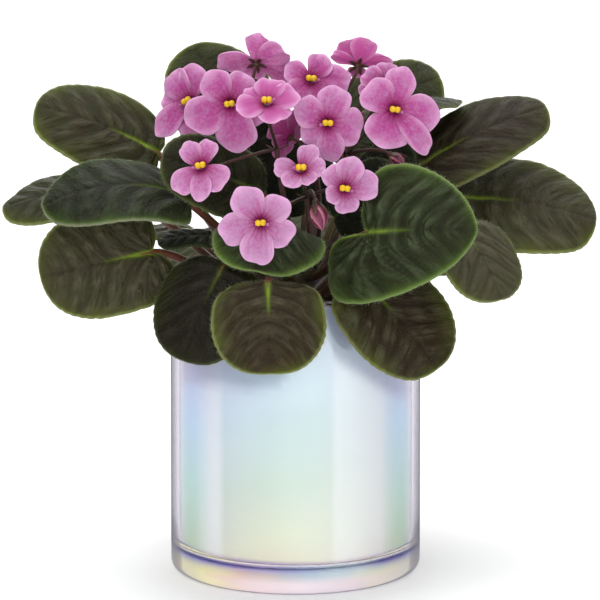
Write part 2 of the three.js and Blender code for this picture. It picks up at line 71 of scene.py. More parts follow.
# An input is a number, a hex colour or another node's output. Inputs are named, or listed in their order. The
# node's named output is given back.
def addNode(tree, kind, inputs=(), output=0, stops=(), **settings):
    node = tree.nodes.new("ShaderNode" + kind)
    for name, value in settings.items():
        setattr(node, name, value)
    for name, value in inputs.items() if isinstance(inputs, dict) else enumerate(inputs):
        if isinstance(value, bpy.types.NodeSocket):
            tree.links.new(value, node.inputs[name])
        elif isinstance(value, str):
            node.inputs[name].default_value = linear(value)
        else:
            node.inputs[name].default_value = value
    for n, (position, colour) in enumerate(stops):  # the places and colours of a ramp, from low to high
        stop = node.color_ramp.elements[n] if n < 2 else node.color_ramp.elements.new(position)
        stop.position = position
        stop.color = linear(colour)
    return node.outputs[output] if node.outputs else None


# An empty material, the object's own coordinates for its patterns, and the values that the mesh carries
def newMaterial(name, *keys):
    material = bpy.data.materials.new(name)
    material.use_nodes = True
    tree = material.node_tree
    tree.nodes.clear()
    where = addNode(tree, "TexCoord", output="Object")
    carried = {key: addNode(tree, "Attribute", output="Fac", attribute_name=key) for key in keys}
    return material, tree, where, carried


def finishMaterial(material, inputs):  # the colour, relief and gloss of its surface
    surface = addNode(material.node_tree, "BsdfPrincipled", inputs)
    addNode(material.node_tree, "OutputMaterial", {"Surface": surface})
    return material


def layeredColour(tree, colour, layers):  # each layer is its share, how strong it is, and its colour
    for share, strength, above in layers:
        weight = addNode(tree, "Math", [share, strength], operation="MULTIPLY")
        colour = addNode(tree, "Mix", {0: weight, 6: colour, 7: above}, 2, data_type="RGBA")
    return colour


# Two colours in patches, fixed to the object. The patches may lie over a value that the mesh carries. relief
# is its size, detail, depth and strength. Sizes and depths are in millimetres.
def mottledSkin(name, colours, surface, patch=6, detail=2, spread=1.0, over=None, relief=None,
                stretch=(1, 1, 1)):
    material, tree, where, carried = newMaterial(name, *([over] if over else []))
    drawn = addNode(tree, "VectorMath", [where, stretch], operation="MULTIPLY")
    noise = addNode(tree, "TexNoise", {"Vector": drawn, "Scale": perSize(patch), "Detail": detail})
    patches = addNode(tree, "Math", [noise, spread, -spread / 2], operation="MULTIPLY_ADD")
    share = addNode(tree, "Math", [carried.get(over, 0.5), patches], operation="ADD", use_clamp=True)
    colour = layeredColour(tree, colours[0], [(share, 1.0, colours[1])])
    inputs = {"Base Color": colour, **surface}
    if relief:
        size, fine, depth, strength = relief
        height = addNode(tree, "TexNoise", {"Vector": where, "Scale": perSize(size), "Detail": fine})
        inputs["Normal"] = addNode(tree, "Bump", {
            "Height": height, "Distance": depth * mm, "Strength": strength})
    return finishMaterial(material, inputs)


# Meshes: a part is its points in millimetres, its faces, the number of its material and its values

def unit(vector):
    vector = np.asarray(vector, float)
    return vector / np.linalg.norm(vector)


def gridTopology(grid, wraps):  # the grid's rows become faces, and a row that is one point becomes a fan
    rows, columns = grid.shape[:2]
    index = np.arange(rows * columns).reshape(rows, columns)
    for row in (0, rows - 1):
        if np.ptp(grid[row], axis=0).max() < 1e-6:
            index[row, :] = index[row, 0]
    kept, index = np.unique(index, return_inverse=True)
    index = index.reshape(rows, columns)
    faces = []
    for i in range(rows - 1):
        for j in range(columns if wraps else columns - 1):
            k = (j + 1) % columns
            ring = [int(index[i, j]), int(index[i + 1, j]), int(index[i + 1, k]), int(index[i, k])]
            face = [n for m, n in enumerate(ring) if n != ring[m - 1]]
            if len(face) > 2:
                faces.append(face)
    return kept, faces


def trianglesOf(faces):
    return np.array([face[:3] for face in faces] + [[f[0], f[2], f[3]] for f in faces if len(f) == 4])


knownTopologies = {}


def topologyOf(name, grid, wraps=False):  # grids of one name share their faces
    key = (name, grid.shape[:2])
    if key not in knownTopologies:
        kept, faces = gridTopology(grid, wraps)
        directed = {(f[n - 1], f[n]) for f in faces for n in range(len(f))}
        border = [edge for edge in directed if edge[::-1] not in directed]
        knownTopologies[key] = (kept, faces, trianglesOf(faces), sorted(border))
    return knownTopologies[key]


def pointNormals(points, corners):
    a, b, c = (points[corners[:, n]] for n in range(3))
    flat = np.cross(b - a, c - a)
    normals = np.zeros_like(points)
    for n in range(3):
        np.add.at(normals, corners[:, n], flat)
    return normals / np.maximum(np.linalg.norm(normals, axis=1), 1e-12)[:, None]


def pointValues(value, grid, kept):  # one number for each point of the mesh
    return np.broadcast_to(value, grid.shape[:2]).reshape(-1)[kept]


def platePart(name, grid, above, below, skin, values):  # a sheet with a thickness on each side
    kept, faces, corners, border = topologyOf(name, grid)
    middle = grid.reshape(-1, 3)[kept]
    normals = pointNormals(middle, corners)
    top = middle + normals * pointValues(above, grid, kept)[:, None]
    bottom = middle - normals * pointValues(below, grid, kept)[:, None]
    low = len(middle)
    shell = faces + [[low + n for n in reversed(face)] for face in faces]
    shell += [[end, start, low + start, low + end] for start, end in border]
    carried = {key: np.tile(pointValues(value, grid, kept), 2) for key, value in values.items()}
    carried["back"] = np.repeat([0.0, 1.0], low)
    return {"points": np.concatenate([top, bottom]), "faces": shell, "skin": skin, "values": carried,
            "top": (top, normals, corners), "border": np.array(border)}


def roundPart(name, grid, skin, values):  # a closed tube or turned form, its rows running round it
    kept, faces, corners, _ = topologyOf(name, grid, True)
    carried = {key: pointValues(value, grid, kept) for key, value in values.items()}
    return {"points": grid.reshape(-1, 3)[kept], "faces": faces, "skin": skin, "values": carried,
            "corners": corners}


def tubePart(path, radii, sides, skin):
    path = np.asarray(path, float)
    radii = np.broadcast_to(radii, len(path)).astype(float)
    ways = np.gradient(path, axis=0)
    ways /= np.linalg.norm(ways, axis=1)[:, None]
    angles = np.arange(sides) / sides * 2 * np.pi
    side = np.cross(ways[0], [0.31, 0.2, 0.93])
    rings = [np.tile(path[0] - ways[0] * radii[0] * 0.4, (sides, 1))]
    for point, way, radius in zip(path, ways, radii):
        side = unit(side - way * np.dot(side, way))
        other = np.cross(side, way)
        rings.append(point + radius * (np.outer(np.cos(angles), side) + np.outer(np.sin(angles), other)))
    rings.append(np.tile(path[-1] + ways[-1] * radii[-1] * 0.4, (sides, 1)))
    along = np.concatenate([[0], np.linspace(0, 1, len(path)), [1]])[:, None]
    return roundPart(f"tube{len(path)}", np.array(rings), skin, {"along": along})


def ringAngles(sides):
    return -np.arange(sides)[None, :] / sides * 2 * np.pi


def ringGrid(radius, height, around):  # rings about the axis, from the lowest up
    return np.stack(np.broadcast_arrays(radius * np.cos(around), radius * np.sin(around), height), axis=2)


def turnedPart(profile, segments, skin, values=None):  # profile runs from the axis, up the outside and back
    profile = np.array(profile, float)
    grid = ringGrid(profile[:, :1], profile[:, 1:], ringAngles(segments))
    return roundPart(f"turned{len(profile)}", grid, skin, values or {})


def hairPart(roots, ways, lengths, radius, skin):  # each hair is a slim three-sided cone
    count = len(roots)
    side = np.cross(ways, [0.3, 0.5, 0.81])
    side /= np.linalg.norm(side, axis=1)[:, None]
    other = np.cross(ways, side)
    points = np.zeros((count, 4, 3))
    for n in range(3):
        angle = n * 2 * np.pi / 3
        points[:, n] = roots + radius * (side * math.cos(angle) + other * math.sin(angle))
    points[:, 3] = roots + ways * np.asarray(lengths)[:, None]
    first = np.arange(count) * 4
    faces = [[f + a, f + b, f + 3] for f in first.tolist() for a, b in ((0, 1), (1, 2), (2, 0))]
    faces += [[f + 2, f + 1, f] for f in first.tolist()]
    return {"points": points.reshape(-1, 3), "faces": faces, "skin": skin, "values": {}}


def hairsOn(top, count, length, radius, skin, dice, lean=0.5):  # hairs spread evenly over a surface
    points, normals, corners = top
    a, b, c = (points[corners[:, n]] for n in range(3))
    areas = np.linalg.norm(np.cross(b - a, c - a), axis=1)
    chosen = dice.choice(len(corners), count, p=areas / areas.sum())
    u, v = dice.random(count), dice.random(count)
    over = u + v > 1
    u[over], v[over] = 1 - u[over], 1 - v[over]
    roots = a[chosen] + (b - a)[chosen] * u[:, None] + (c - a)[chosen] * v[:, None]
    ways = normals[corners[chosen, 0]] + dice.normal(0, lean, (count, 3))
    ways /= np.linalg.norm(ways, axis=1)[:, None]
    lengths = length * (0.7 + 0.6 * dice.random(count))
    return hairPart(roots - ways * 0.05, ways, lengths, radius, skin)


def tubeTop(part):  # the surface of a tube, for its hairs
    return part["points"], pointNormals(part["points"], part["corners"]), part["corners"]


def addPiece(name, parts, materials, slotName, *nodes):
    points = np.concatenate([part["points"] for part in parts]) * mm
    faces, skins, first = [], [], 0
    for part in parts:
        faces += [[first + n for n in face] for face in part["faces"]]
        skins += [part["skin"]] * len(part["faces"])
        first += len(part["points"])
    mesh = bpy.data.meshes.new(name)
    mesh.from_pydata(points.tolist(), [], faces)
    mesh.polygons.foreach_set("material_index", skins)
    for key in sorted({key for part in parts for key in part["values"]}):
        carried = [np.broadcast_to(part["values"].get(key, 0.0), len(part["points"])) for part in parts]
        layer = mesh.attributes.new(key, "FLOAT", "POINT")
        layer.data.foreach_set("value", np.concatenate(carried).astype(np.float32))
    mesh.shade_smooth()
    for material in materials:
        mesh.materials.append(material)
    piece = bpy.data.objects.new(name, mesh)
    bpy.context.scene.collection.objects.link(piece)
    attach(piece, "root")
    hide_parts(*nodes)
    return piece


def bezier(corners, count):
    share = np.linspace(0, 1, count)[:, None]
    a, b, c, d = (np.asarray(corner, float) for corner in corners)
    rest = 1 - share
    return rest ** 3 * a + 3 * rest ** 2 * share * b + 3 * rest * share ** 2 * c + share ** 3 * d


# Leaf skin: living leaf, grown with a nap of fine hairs. It looks velvety: a dull dark ground, a green
# scalloped edge and a bright midrib. Its colour also holds painted light: a pale painted sheen on the raised
# quilts, on the crease ridges and over whole leaves, and painted shade in the vein grooves, in the creases
# and over leaves in shade.
leafSkinSizes = {"mottle": 9, "paintedSheen": 9, "crease": 7, "wash": 14, "network": 2.6, "nap": 0.6}  # millimetres


def leafSkin(name, colours):
    material, tree, where, carried = newMaterial(
        name, "tone", "flow", "outward", "leafNumber", "raised", "bloomed", "vein", "inner", "wash", "rim",
        "silver", "rib", "back", "dark")
    colours = {"silver": "#a3a98a", "dark": "#0a0b05", **colours}
    noise = {}
    for key, detail in (("mottle", 4), ("wash", 3), ("nap", 2)):
        noise[key] = addNode(tree, "TexNoise", {
            "Vector": where, "Scale": perSize(leafSkinSizes[key]), "Detail": detail})
    for key, number, twist in (("paintedSheen", 0.9, 0.8), ("crease", 2.0, 0.35)):  # drawn out along the side veins
        flow = addNode(tree, "Math", [carried["flow"], number], operation="MULTIPLY")
        outward = addNode(tree, "Math", [carried["outward"], leafSkinSizes[key]], operation="DIVIDE")
        place = addNode(tree, "CombineXYZ", [flow, outward, carried["leafNumber"]])
        noise[key] = addNode(tree, "TexNoise", {
            "Vector": place, "Scale": 1.0, "Detail": 4, "Distortion": twist})
    share = {}
    for key, pattern, slope, start in (("paintedSheen", "paintedSheen", 4.0, -1.35), ("paintedLight", "crease", 6.0, -2.2),
                                       ("paintedShadeShare", "crease", -5.0, 2.35), ("patches", "wash", 4.0, -1.5)):
        share[key] = addNode(tree, "Math", [noise[pattern], slope, start], operation="MULTIPLY_ADD",
                             use_clamp=True)
    mottle = addNode(tree, "Math", [noise["mottle"], 1.3, -0.65], operation="MULTIPLY_ADD")
    tone = addNode(tree, "Math", [carried["tone"], mottle], operation="ADD", use_clamp=True)
    # painted sheen: raised quilts, in patches and where the crease ridges stand up, are painted paler in the
    # bloom colour, and the bloom value lays it over the whole leaf
    paintedSheen = addNode(tree, "Math", [carried["raised"], share["paintedSheen"]], operation="MULTIPLY")
    bloom = addNode(tree, "Math", [paintedSheen, share["paintedLight"], carried["bloomed"]], operation="MULTIPLY_ADD")
    # painted shade: the vein grooves and the low parts of the creases are painted darker in the groove colour
    veins = addNode(tree, "Math", [carried["vein"], 0.45], operation="MULTIPLY")
    paintedCreaseShade = addNode(tree, "Math", [share["paintedShadeShare"], carried["inner"]], operation="MULTIPLY")
    paintedCreaseShade = addNode(tree, "Math", [paintedCreaseShade, 0.65], operation="MULTIPLY")
    paintedGrooveShade = addNode(tree, "Math", [veins, paintedCreaseShade], operation="MAXIMUM")
    # the last layer is near-black painted shade, laid over leaves that lie in shade
    colour = layeredColour(tree, colours["brown"], [
        (tone, 1.0, colours["green"]), (bloom, 1.0, colours["bloom"]), (paintedGrooveShade, 1.0, colours["groove"]),
        (carried["wash"], share["patches"], colours["wash"]), (carried["rim"], 0.9, colours["rim"]),
        (carried["silver"], 1.0, colours["silver"]), (carried["rib"], 1.0, colours["rib"]),
        (carried["back"], 0.85, colours["back"]), (carried["dark"], 1.0, colours["dark"])])
    network = addNode(tree, "TexVoronoi", {"Vector": where, "Scale": perSize(leafSkinSizes["network"])},
                      feature="DISTANCE_TO_EDGE")
    cells = addNode(tree, "Math", [network, 0.25], operation="MINIMUM")
    nap = addNode(tree, "Math", [noise["nap"], 0.35, cells], operation="MULTIPLY_ADD")
    height = addNode(tree, "Math", [noise["crease"], 4.5, nap], operation="MULTIPLY_ADD")
    relief = addNode(tree, "Bump", {"Height": height, "Distance": 0.45 * mm, "Strength": 0.6})
    return finishMaterial(material, {
        "Base Color": colour, "Normal": relief, "Roughness": 0.5, "IOR": 1.42, "Specular IOR Level": 0.14,
        "Sheen Weight": colours["sheen"], "Sheen Roughness": 0.35, "Sheen Tint": "#a9b88c"})


# bloom is the colour of the painted sheen, and groove the colour of the painted shade in grooves and creases
darkLeaf = leafSkin("velvetLeafDark", {
    "brown": "#2a1f11", "green": "#272c10", "bloom": "#484534", "groove": "#150f07", "wash": "#4a5019",
    "rim": "#67701f", "rib": "#7a942a", "back": "#4c5030", "sheen": 0.02})
freshLeaf = leafSkin("velvetLeafFresh", {
    "brown": "#20200c", "green": "#1f290e", "bloom": "#454f37", "groove": "#080c04", "wash": "#3f541d",
    "rim": "#5f7a2e", "rib": "#6d862c", "back": "#525e36", "sheen": 0.1})

# Leaf stalk skin: juicy stems, reddish where the sun reaches them, with a wet, slightly waxy shine
petioleSkin, stalkSkin, sepalSkin, crownSkin, pistilSkin = (
    mottledSkin(name, colours, {
        "Roughness": 0.45, "IOR": 1.42, "Sheen Weight": 0.04, "Sheen Tint": "#e8d9c8"},
        3, 3, 0.7, "along", (0.8, 2, 0.15, 0.5)) for name, colours in (
        ("reddishPetiole", ["#40311c", "#6e3323"]), ("reddishFlowerStalk", ["#2c1811", "#48211f"]),
        ("brownishSepal", ["#33270f", "#4a2620"]), ("woodyCrown", ["#4d4630", "#6a5a3a"]),
        ("purplePistil", ["#9a4a86", "#a05a8c"])))

# Hairs: hollow plant hairs. They are drawn about three times as thick as real ones, or they would not show.
hairSkin = mottledSkin("palePlantHair", ["#2e3120", "#4a4d34"], {
    "Roughness": 0.5, "IOR": 1.4, "Sheen Weight": 0.2})
fringeSkin = mottledSkin("silveryFringeHair", ["#8f9670", "#b9bf9e"], {"Roughness": 0.5, "IOR": 1.4})
print("leaf and stem materials made")


# Leaves: where the blade joins its stalk, where its tip is, how wide it is and which way its face looks.
# bend is the arc of the midrib in degrees, cup lifts or drops the edges, and lobe is how far the rounded ends
# reach back past the stalk. swing makes a heart-shaped blade, widest near its stalk, and folds are deep
# waves. turn, root and steep say how the stalk leaves the crown, and under how far it runs below the blade.
# tone is from brown to green. bloom is how much painted sheen lies over the whole blade, silver how much of a
# pale edge it shows, and its painted shade value how much near-black painted shade darkens it, where the leaf
# lies in shade.
usualLeaf = {"bend": 35, "cup": -0.1, "lobe": 0.12, "folds": 0.35, "root": 120, "steep": 18, "under": 1.6,
             "tone": 0.5, "bloom": 0.0, "dark": 0.0, "silver": 0.3, "fresh": False}
leaves = {
    "left_high": {"base": [-60, 8, 185], "tip": [-114, 8, 206], "width": 46, "faces": [0, -0.6, 0.8],
                  "bend": 30, "lobe": 0.1, "turn": 186, "root": 131, "tone": 0.6},
    "left_far": {"base": [-75, 10, 166], "tip": [-129, 10, 159.5], "width": 46, "faces": [0, -0.25, 1],
                 "lobe": 0.14, "turn": 172, "root": 121, "tone": 0.9},
    "left_arched": {"base": [-48, -31, 174], "tip": [-110, -44, 172], "width": 45, "faces": [0, -0.45, 0.9],
                    "bend": 65, "cup": -0.12, "turn": 214, "root": 134, "steep": 30, "fresh": True,
                    "dark": 0.5, "silver": 1.0},
    "left_low": {"base": [-63, -36, 150], "tip": [-111, -44, 141], "width": 48, "faces": [0, -0.95, 0.3],
                 "lobe": [0.2, 0.36], "turn": 204, "root": 119, "tone": 0.6, "bloom": 0.3},
    "front_left": {"base": [-31, -47, 147], "tip": [-49, -63, 108], "width": 46, "faces": [-0.4, -0.9, 0.2],
                   "bend": 30, "turn": 235, "tone": 0.1, "dark": 0.72},
    "front_middle": {"base": [-12, -63, 143], "tip": [-11, -92, 109], "width": 50, "faces": [0, -0.7, 0.7],
                     "cup": -0.12, "turn": 264, "tone": 0.15},
    "front_top": {"base": [-7, -28, 161], "tip": [-17, -60, 147], "width": 50, "faces": [0, -0.45, 0.9],
                  "bend": 55, "cup": -0.12, "lobe": 0.06, "turn": 262, "root": 131, "fresh": True},
    "right_front": {"base": [31.5, -61, 164.5], "tip": [78.5, -75, 168.5], "width": 61,
                    "faces": [0.1, -0.9, 0.4], "lobe": [0.66, 0.26], "swing": [0.56, 0.8], "turn": 304,
                    "root": 132, "fresh": True, "under": 2.6, "folds": 0.9, "dark": 0.12},
    "right_low": {"base": [70, -39, 164], "tip": [89, -59, 134], "width": 44, "faces": [0.5, -0.6, 0.6],
                  "turn": 326, "tone": 0.9, "bloom": 0.7},
    "right": {"base": [70, -4, 167], "tip": [132, -4, 157], "width": 53, "faces": [0, -0.6, 0.8],
              "turn": 355, "root": 121, "tone": 0.7, "bloom": 0.3},
    "right_high": {"base": [53, -1, 180], "tip": [110, 6, 206], "width": 47, "faces": [0, -0.4, 0.9],
                   "bend": 25, "lobe": 0.2, "turn": 4, "root": 132, "tone": 0.1, "dark": 0.3},
    "front_right": {"base": [28, -51, 142], "tip": [62, -69, 106], "width": 46, "faces": [0.3, -0.9, 0.3],
                    "bend": 30, "turn": 295, "tone": 0.2, "dark": 0.15},
    "back_left_high": {"base": [-16, 26, 174], "tip": [-46, 54, 224], "width": 50, "faces": [0, -0.6, 0.8],
                       "bend": 20, "turn": 118, "root": 132, "tone": 1.0, "dark": 0.1},
    "back_right_high": {"base": [14, 46, 184], "tip": [64, 46, 211], "width": 46, "faces": [0, -0.6, 0.8],
                        "bend": 25, "turn": 66, "root": 132, "tone": 1.0, "dark": 0.2},
    "right_edge": {"base": [32, 16, 203], "tip": [73, 14, 207], "width": 38, "faces": [0, 0.1, 1],
                   "bend": 20, "turn": 38, "root": 131, "tone": 0.9, "dark": 0.5},
    "inner_left": {"base": [-14, -24, 173.5], "tip": [-58, -36, 192.5], "width": 36, "faces": [0, -0.8, 0.6],
                   "bend": 25, "lobe": 0.1, "turn": 238, "root": 138, "steep": 70, "tone": 0.8, "dark": 0.6},
    "back_left_low": {"base": [-54, 28, 147], "tip": [-98, 48, 128], "width": 46, "faces": [-0.3, 0.2, 0.93],
                      "bend": 40, "lobe": 0.14, "turn": 148, "tone": 0.4},
    "back_left": {"base": [-28, 53, 143], "tip": [-50, 88, 114], "width": 45, "faces": [-0.3, 0.5, 0.8],
                  "lobe": 0.14, "turn": 118, "tone": 0.3},
    "back": {"base": [6, 58, 149], "tip": [9, 102, 124], "width": 46, "faces": [0, 0.5, 0.85],
             "lobe": 0.14, "turn": 86, "tone": 0.5},
    "back_right": {"base": [40, 46, 143], "tip": [70, 78, 114], "width": 45, "faces": [0.3, 0.5, 0.8],
                   "lobe": 0.14, "turn": 54, "tone": 0.2},
    "right_back_low": {"base": [60, 24, 148], "tip": [104, 46, 139], "width": 46, "faces": [0.3, 0.2, 0.93],
                       "bend": 40, "lobe": 0.14, "turn": 24, "tone": 0.45},
}
youngLeaves = [
    {"base": [-37, -31, 156], "tip": [-60, -33, 154], "width": 20, "faces": [0, -0.2, 1],
     "bend": 30, "lobe": 0.14, "turn": 222, "root": 127},
    {"base": [17, -19, 162], "tip": [44, -27, 184], "width": 32, "faces": [0, -0.7, 0.7],
     "bend": 20, "lobe": 0.14, "turn": 322, "root": 137, "steep": 50},
    {"base": [4, 11, 157], "tip": [6, 25, 186], "width": 25, "faces": [0, -0.8, 0.5],
     "bend": 20, "lobe": 0.14, "turn": 80, "root": 138, "steep": 50},
    {"base": [-12, 8, 158], "tip": [-20, 18, 206], "width": 38, "faces": [0.1, -0.95, 0.3],
     "bend": 20, "lobe": 0.14, "turn": 150, "root": 138, "steep": 60},
    {"base": [27, -9, 170], "tip": [50, -8, 192], "width": 24, "faces": [0, -0.8, 0.55],
     "bend": 20, "lobe": 0.14, "turn": 335, "root": 140, "steep": 60},
]
# Sizes and depths are in millimetres. The widths of veins are shares of the way to the next vein.
leafSizes = {
    "thick": 0.95, "edgeThick": 0.5, "notch": 0.5, "smallNotch": 0.35, "notchWidth": 0.22, "rise": 0.34,
    "quilt": 0.42, "pillow": 0.15, "pillowSize": 9, "ribDepth": 0.6, "ribWidth": 1.1, "sweep": 0.55,
    "curl": 0.45, "basalVeins": 3.3, "ruffle": 0.7, "roll": 0.5, "rollFrom": 0.86, "ridge": 0.3,
    "ridgeWidth": 0.2, "veinWidth": 0.24, "rim": 1.0, "freshRim": 1.7, "silver": 0.8, "glow": 0.95,
    "glowReach": 0.36, "wash": 4.5,
}
leafHairs = {"nap": 1500, "edge": 650, "stalk": 260, "length": 0.9, "stalkLength": 1.3, "radius": 0.04,
             "edgeShortest": 0.6, "edgeLonger": 0.5, "stray": 0.35, "upward": 0.35, "sunk": 0.2}
# How thick a leaf's stalk is, how fine its mesh, and its share of the hairs
grown = {"stalk": 1.8, "veins": 5, "rows": 72, "columns": 18, "hairs": 1.0}
young = {"stalk": 1.44, "veins": 4, "rows": 48, "columns": 12, "hairs": 0.35}
crown = {"radius": 9, "top": 144, "depth": 9, "gap": 0.3, "scar": 0.225}


def bladeFrame(leaf):
    base, tip = np.array(leaf["base"], float), np.array(leaf["tip"], float)
    along = unit(tip - base)
    face = unit(leaf["faces"] - along * np.dot(leaf["faces"], along))
    bend = math.radians(leaf["bend"])
    length = np.linalg.norm(tip - base) * bend / (2 * math.sin(bend / 2))
    return {"base": base, "along": along, "face": face, "across": np.cross(face, along), "bend": bend,
            "length": length}


def onBlade(place, x, y, lift):  # x runs along the arched midrib, y across it and lift out of the face
    x, y, lift = np.broadcast_arrays(np.asarray(x, float), y, lift)
    start, radius = place["bend"] / 2, place["length"] / place["bend"]
    slope = start - x / radius
    forward = radius * (math.sin(start) - np.sin(slope)) - np.sin(slope) * lift
    rise = radius * (np.cos(slope) - math.cos(start)) + np.cos(slope) * lift
    return (place["base"] + forward[..., None] * place["along"] + rise[..., None] * place["face"]
            + y[..., None] * place["across"])


def bladePart(leaf, place, dice, growth):
    length, width, rows, columns = place["length"], leaf["width"], growth["rows"], growth["columns"]
    lobes = leaf["lobe"] if isinstance(leaf["lobe"], list) else [leaf["lobe"]] * 2
    s = np.linspace(0, 1, rows + 1)[:, None]
    t = np.linspace(-1, 1, 2 * columns + 1)[None, :]
    v = t - 0.07 * np.sin(2 * np.pi * t)  # closer columns at the midrib and the edge
    lobe = np.where(v < 0, lobes[0], lobes[1])
    if "swing" in leaf:
        turned = s ** np.where(v < 0, leaf["swing"][0], leaf["swing"][1])
    else:
        turned = np.minimum(1, 2 * s)
    edgeX = length * ((1 - np.cos(np.pi * s)) / 2 - lobe * np.sin(np.pi * turned))
    roundness = 0.75 + 2.2 * np.minimum(lobe, 0.5) * np.maximum(0, 1 - 2 * s)
    edgeY = width / 2 * np.abs(np.sin(np.pi * s ** 0.95)) ** roundness
    veinX = length * s ** 1.35
    reach = np.hypot(edgeX - veinX, edgeY) + 0.01
    flatX, flatY = veinX + (edgeX - veinX) * np.abs(v), edgeY * np.abs(v)
    # A vein leaves the midrib at rootX. Odd whole numbers of the phase are side veins.
    rootX = flatX - leafSizes["sweep"] * flatY - leafSizes["curl"] * flatY ** 2 / width
    radial = np.arctan2(flatY, flatX + 0.01) - math.atan2(1, leafSizes["sweep"])
    phase = np.where(rootX > 0, rootX / length * 2 * growth["veins"],
                     -leafSizes["basalVeins"] * np.maximum(radial, 0))
    phase = phase + 0.5 * np.sin(flatY / 7 + 6 * dice.random() + 5 * s)
    fromVein = np.abs(np.mod(phase, 2) - 1)
    # the pattern fades at the stalk and the tip
    inner = np.clip(np.sin(np.pi * s) * 3, 0, 1) * (1 - 0.75 * s ** 3)
    notch = (leafSizes["notch"] * np.exp(-(fromVein / leafSizes["notchWidth"]) ** 2)
             + leafSizes["smallNotch"] * np.exp(-((1 - fromVein) / leafSizes["notchWidth"]) ** 2))
    share = np.clip(1 - notch * inner / reach, 0.4, 1)
    x = veinX + (edgeX - veinX) * np.abs(v) * share
    y = edgeY * share * v
    raised = 1 - np.exp(-(fromVein / leafSizes["quilt"]) ** 2)
    band = np.floor((phase + 1) / 2)
    turns = np.abs(v) * reach / leafSizes["pillowSize"] + 0.37 * band + 0.2 * np.sin(5 * s) + dice.random()
    pillows = np.cos(2 * np.pi * turns)
    relief = leafSizes["rise"] * (2 * raised - 1) * 0.8 + leafSizes["pillow"] * pillows * raised
    relief = relief * inner * (1 - v ** 6)
    rib = np.exp(-(y / leafSizes["ribWidth"]) ** 2)
    relief = relief * (1 - rib) - leafSizes["ribDepth"] * rib * (1 - 0.5 * s)
    waves = np.sin(2 * np.pi * (2.3 * s + dice.random()) + np.where(v < 0, 0, 2.4))
    bulges = np.sin(phase * np.pi + 1.2) * np.sin(np.pi * np.abs(v)) * leaf["folds"]
    nearEdge = np.maximum(0, (np.abs(v) - leafSizes["rollFrom"]) / (1 - leafSizes["rollFrom"]))
    roll = -leafSizes["roll"] * nearEdge ** 2
    spread = np.clip(edgeY / (0.25 * width), 0, 1)  # the edge comes back to the midrib's height at the tip
    lift = relief + (bulges + leafSizes["ruffle"] * waves * v ** 2) * inner
    lift = lift + (leaf["cup"] * width / 2 * v ** 2 + roll) * spread
    inland = (1 - np.abs(v)) * reach  # millimetres from the edge
    rim = np.exp(-(inland / leafSizes["freshRim" if leaf["fresh"] else "rim"]) ** 2)
    glow = np.exp(-(y / (leafSizes["glow"] * (1.25 - s))) ** 2)
    glow = glow * np.clip(1.25 - x / (leafSizes["glowReach"] * length), 0, 1)
    half = (leafSizes["edgeThick"] + (leafSizes["thick"] - leafSizes["edgeThick"]) * (1 - rim)) / 2
    vein = np.exp(-(fromVein / leafSizes["veinWidth"]) ** 2) * inner * (1 - rim)
    values = {
        "rim": rim, "rib": glow, "vein": vein * (1 - 0.6 * np.abs(v)) + 0.5 * rib,
        "raised": raised * (0.68 + 0.32 * pillows) * inner * (1 - rim), "inner": inner * (1 - rim),
        "bloomed": leaf["bloom"], "dark": leaf["dark"],
        "tone": leaf["tone"] + 0.35 * np.abs(v) ** 3 - 0.15 * s,
        "wash": 0.8 * np.exp(-(inland / leafSizes["wash"]) ** 1.5),
        "silver": np.exp(-(inland / leafSizes["silver"]) ** 2) * leaf["silver"],
        "flow": phase, "outward": np.abs(v) * reach, "leafNumber": float(dice.integers(100)),
    }
    # the veins stand out of the back
    ridge = leafSizes["ridge"] * np.exp(-(fromVein / leafSizes["ridgeWidth"]) ** 2) * inner * (1 - np.abs(v))
    return platePart(f"blade{rows}", onBlade(place, x, y, lift), half, half + ridge, 0, values)


def petiolePath(leaf, place, radius):
    turn, slope = math.radians(leaf["turn"]), math.radians(leaf["steep"])
    outward = np.array([math.cos(turn), math.sin(turn), 0])
    start = outward * (crown["radius"] + crown["gap"] * 2 + radius * math.sin(slope)) + [0, 0, leaf["root"]]
    below = -leaf["under"]
    end = onBlade(place, 0, 0, below)
    span = np.linalg.norm(end - start)
    rise = outward * math.cos(slope) + [0, 0, math.sin(slope)]
    free = bezier([start, start + rise * span * 0.33, onBlade(place, -span * 0.25, 0, below), end], 26)
    runs = np.linspace(0.05, 0.86, 12)  # the stalk runs on under the blade as its rib
    under = [onBlade(place, place["length"] * run, 0, below + 0.9 * run) for run in runs]
    thin = np.concatenate([np.full(26, radius), radius * (0.94 - 0.86 * runs / runs[-1])])
    return np.concatenate([free, under]), thin


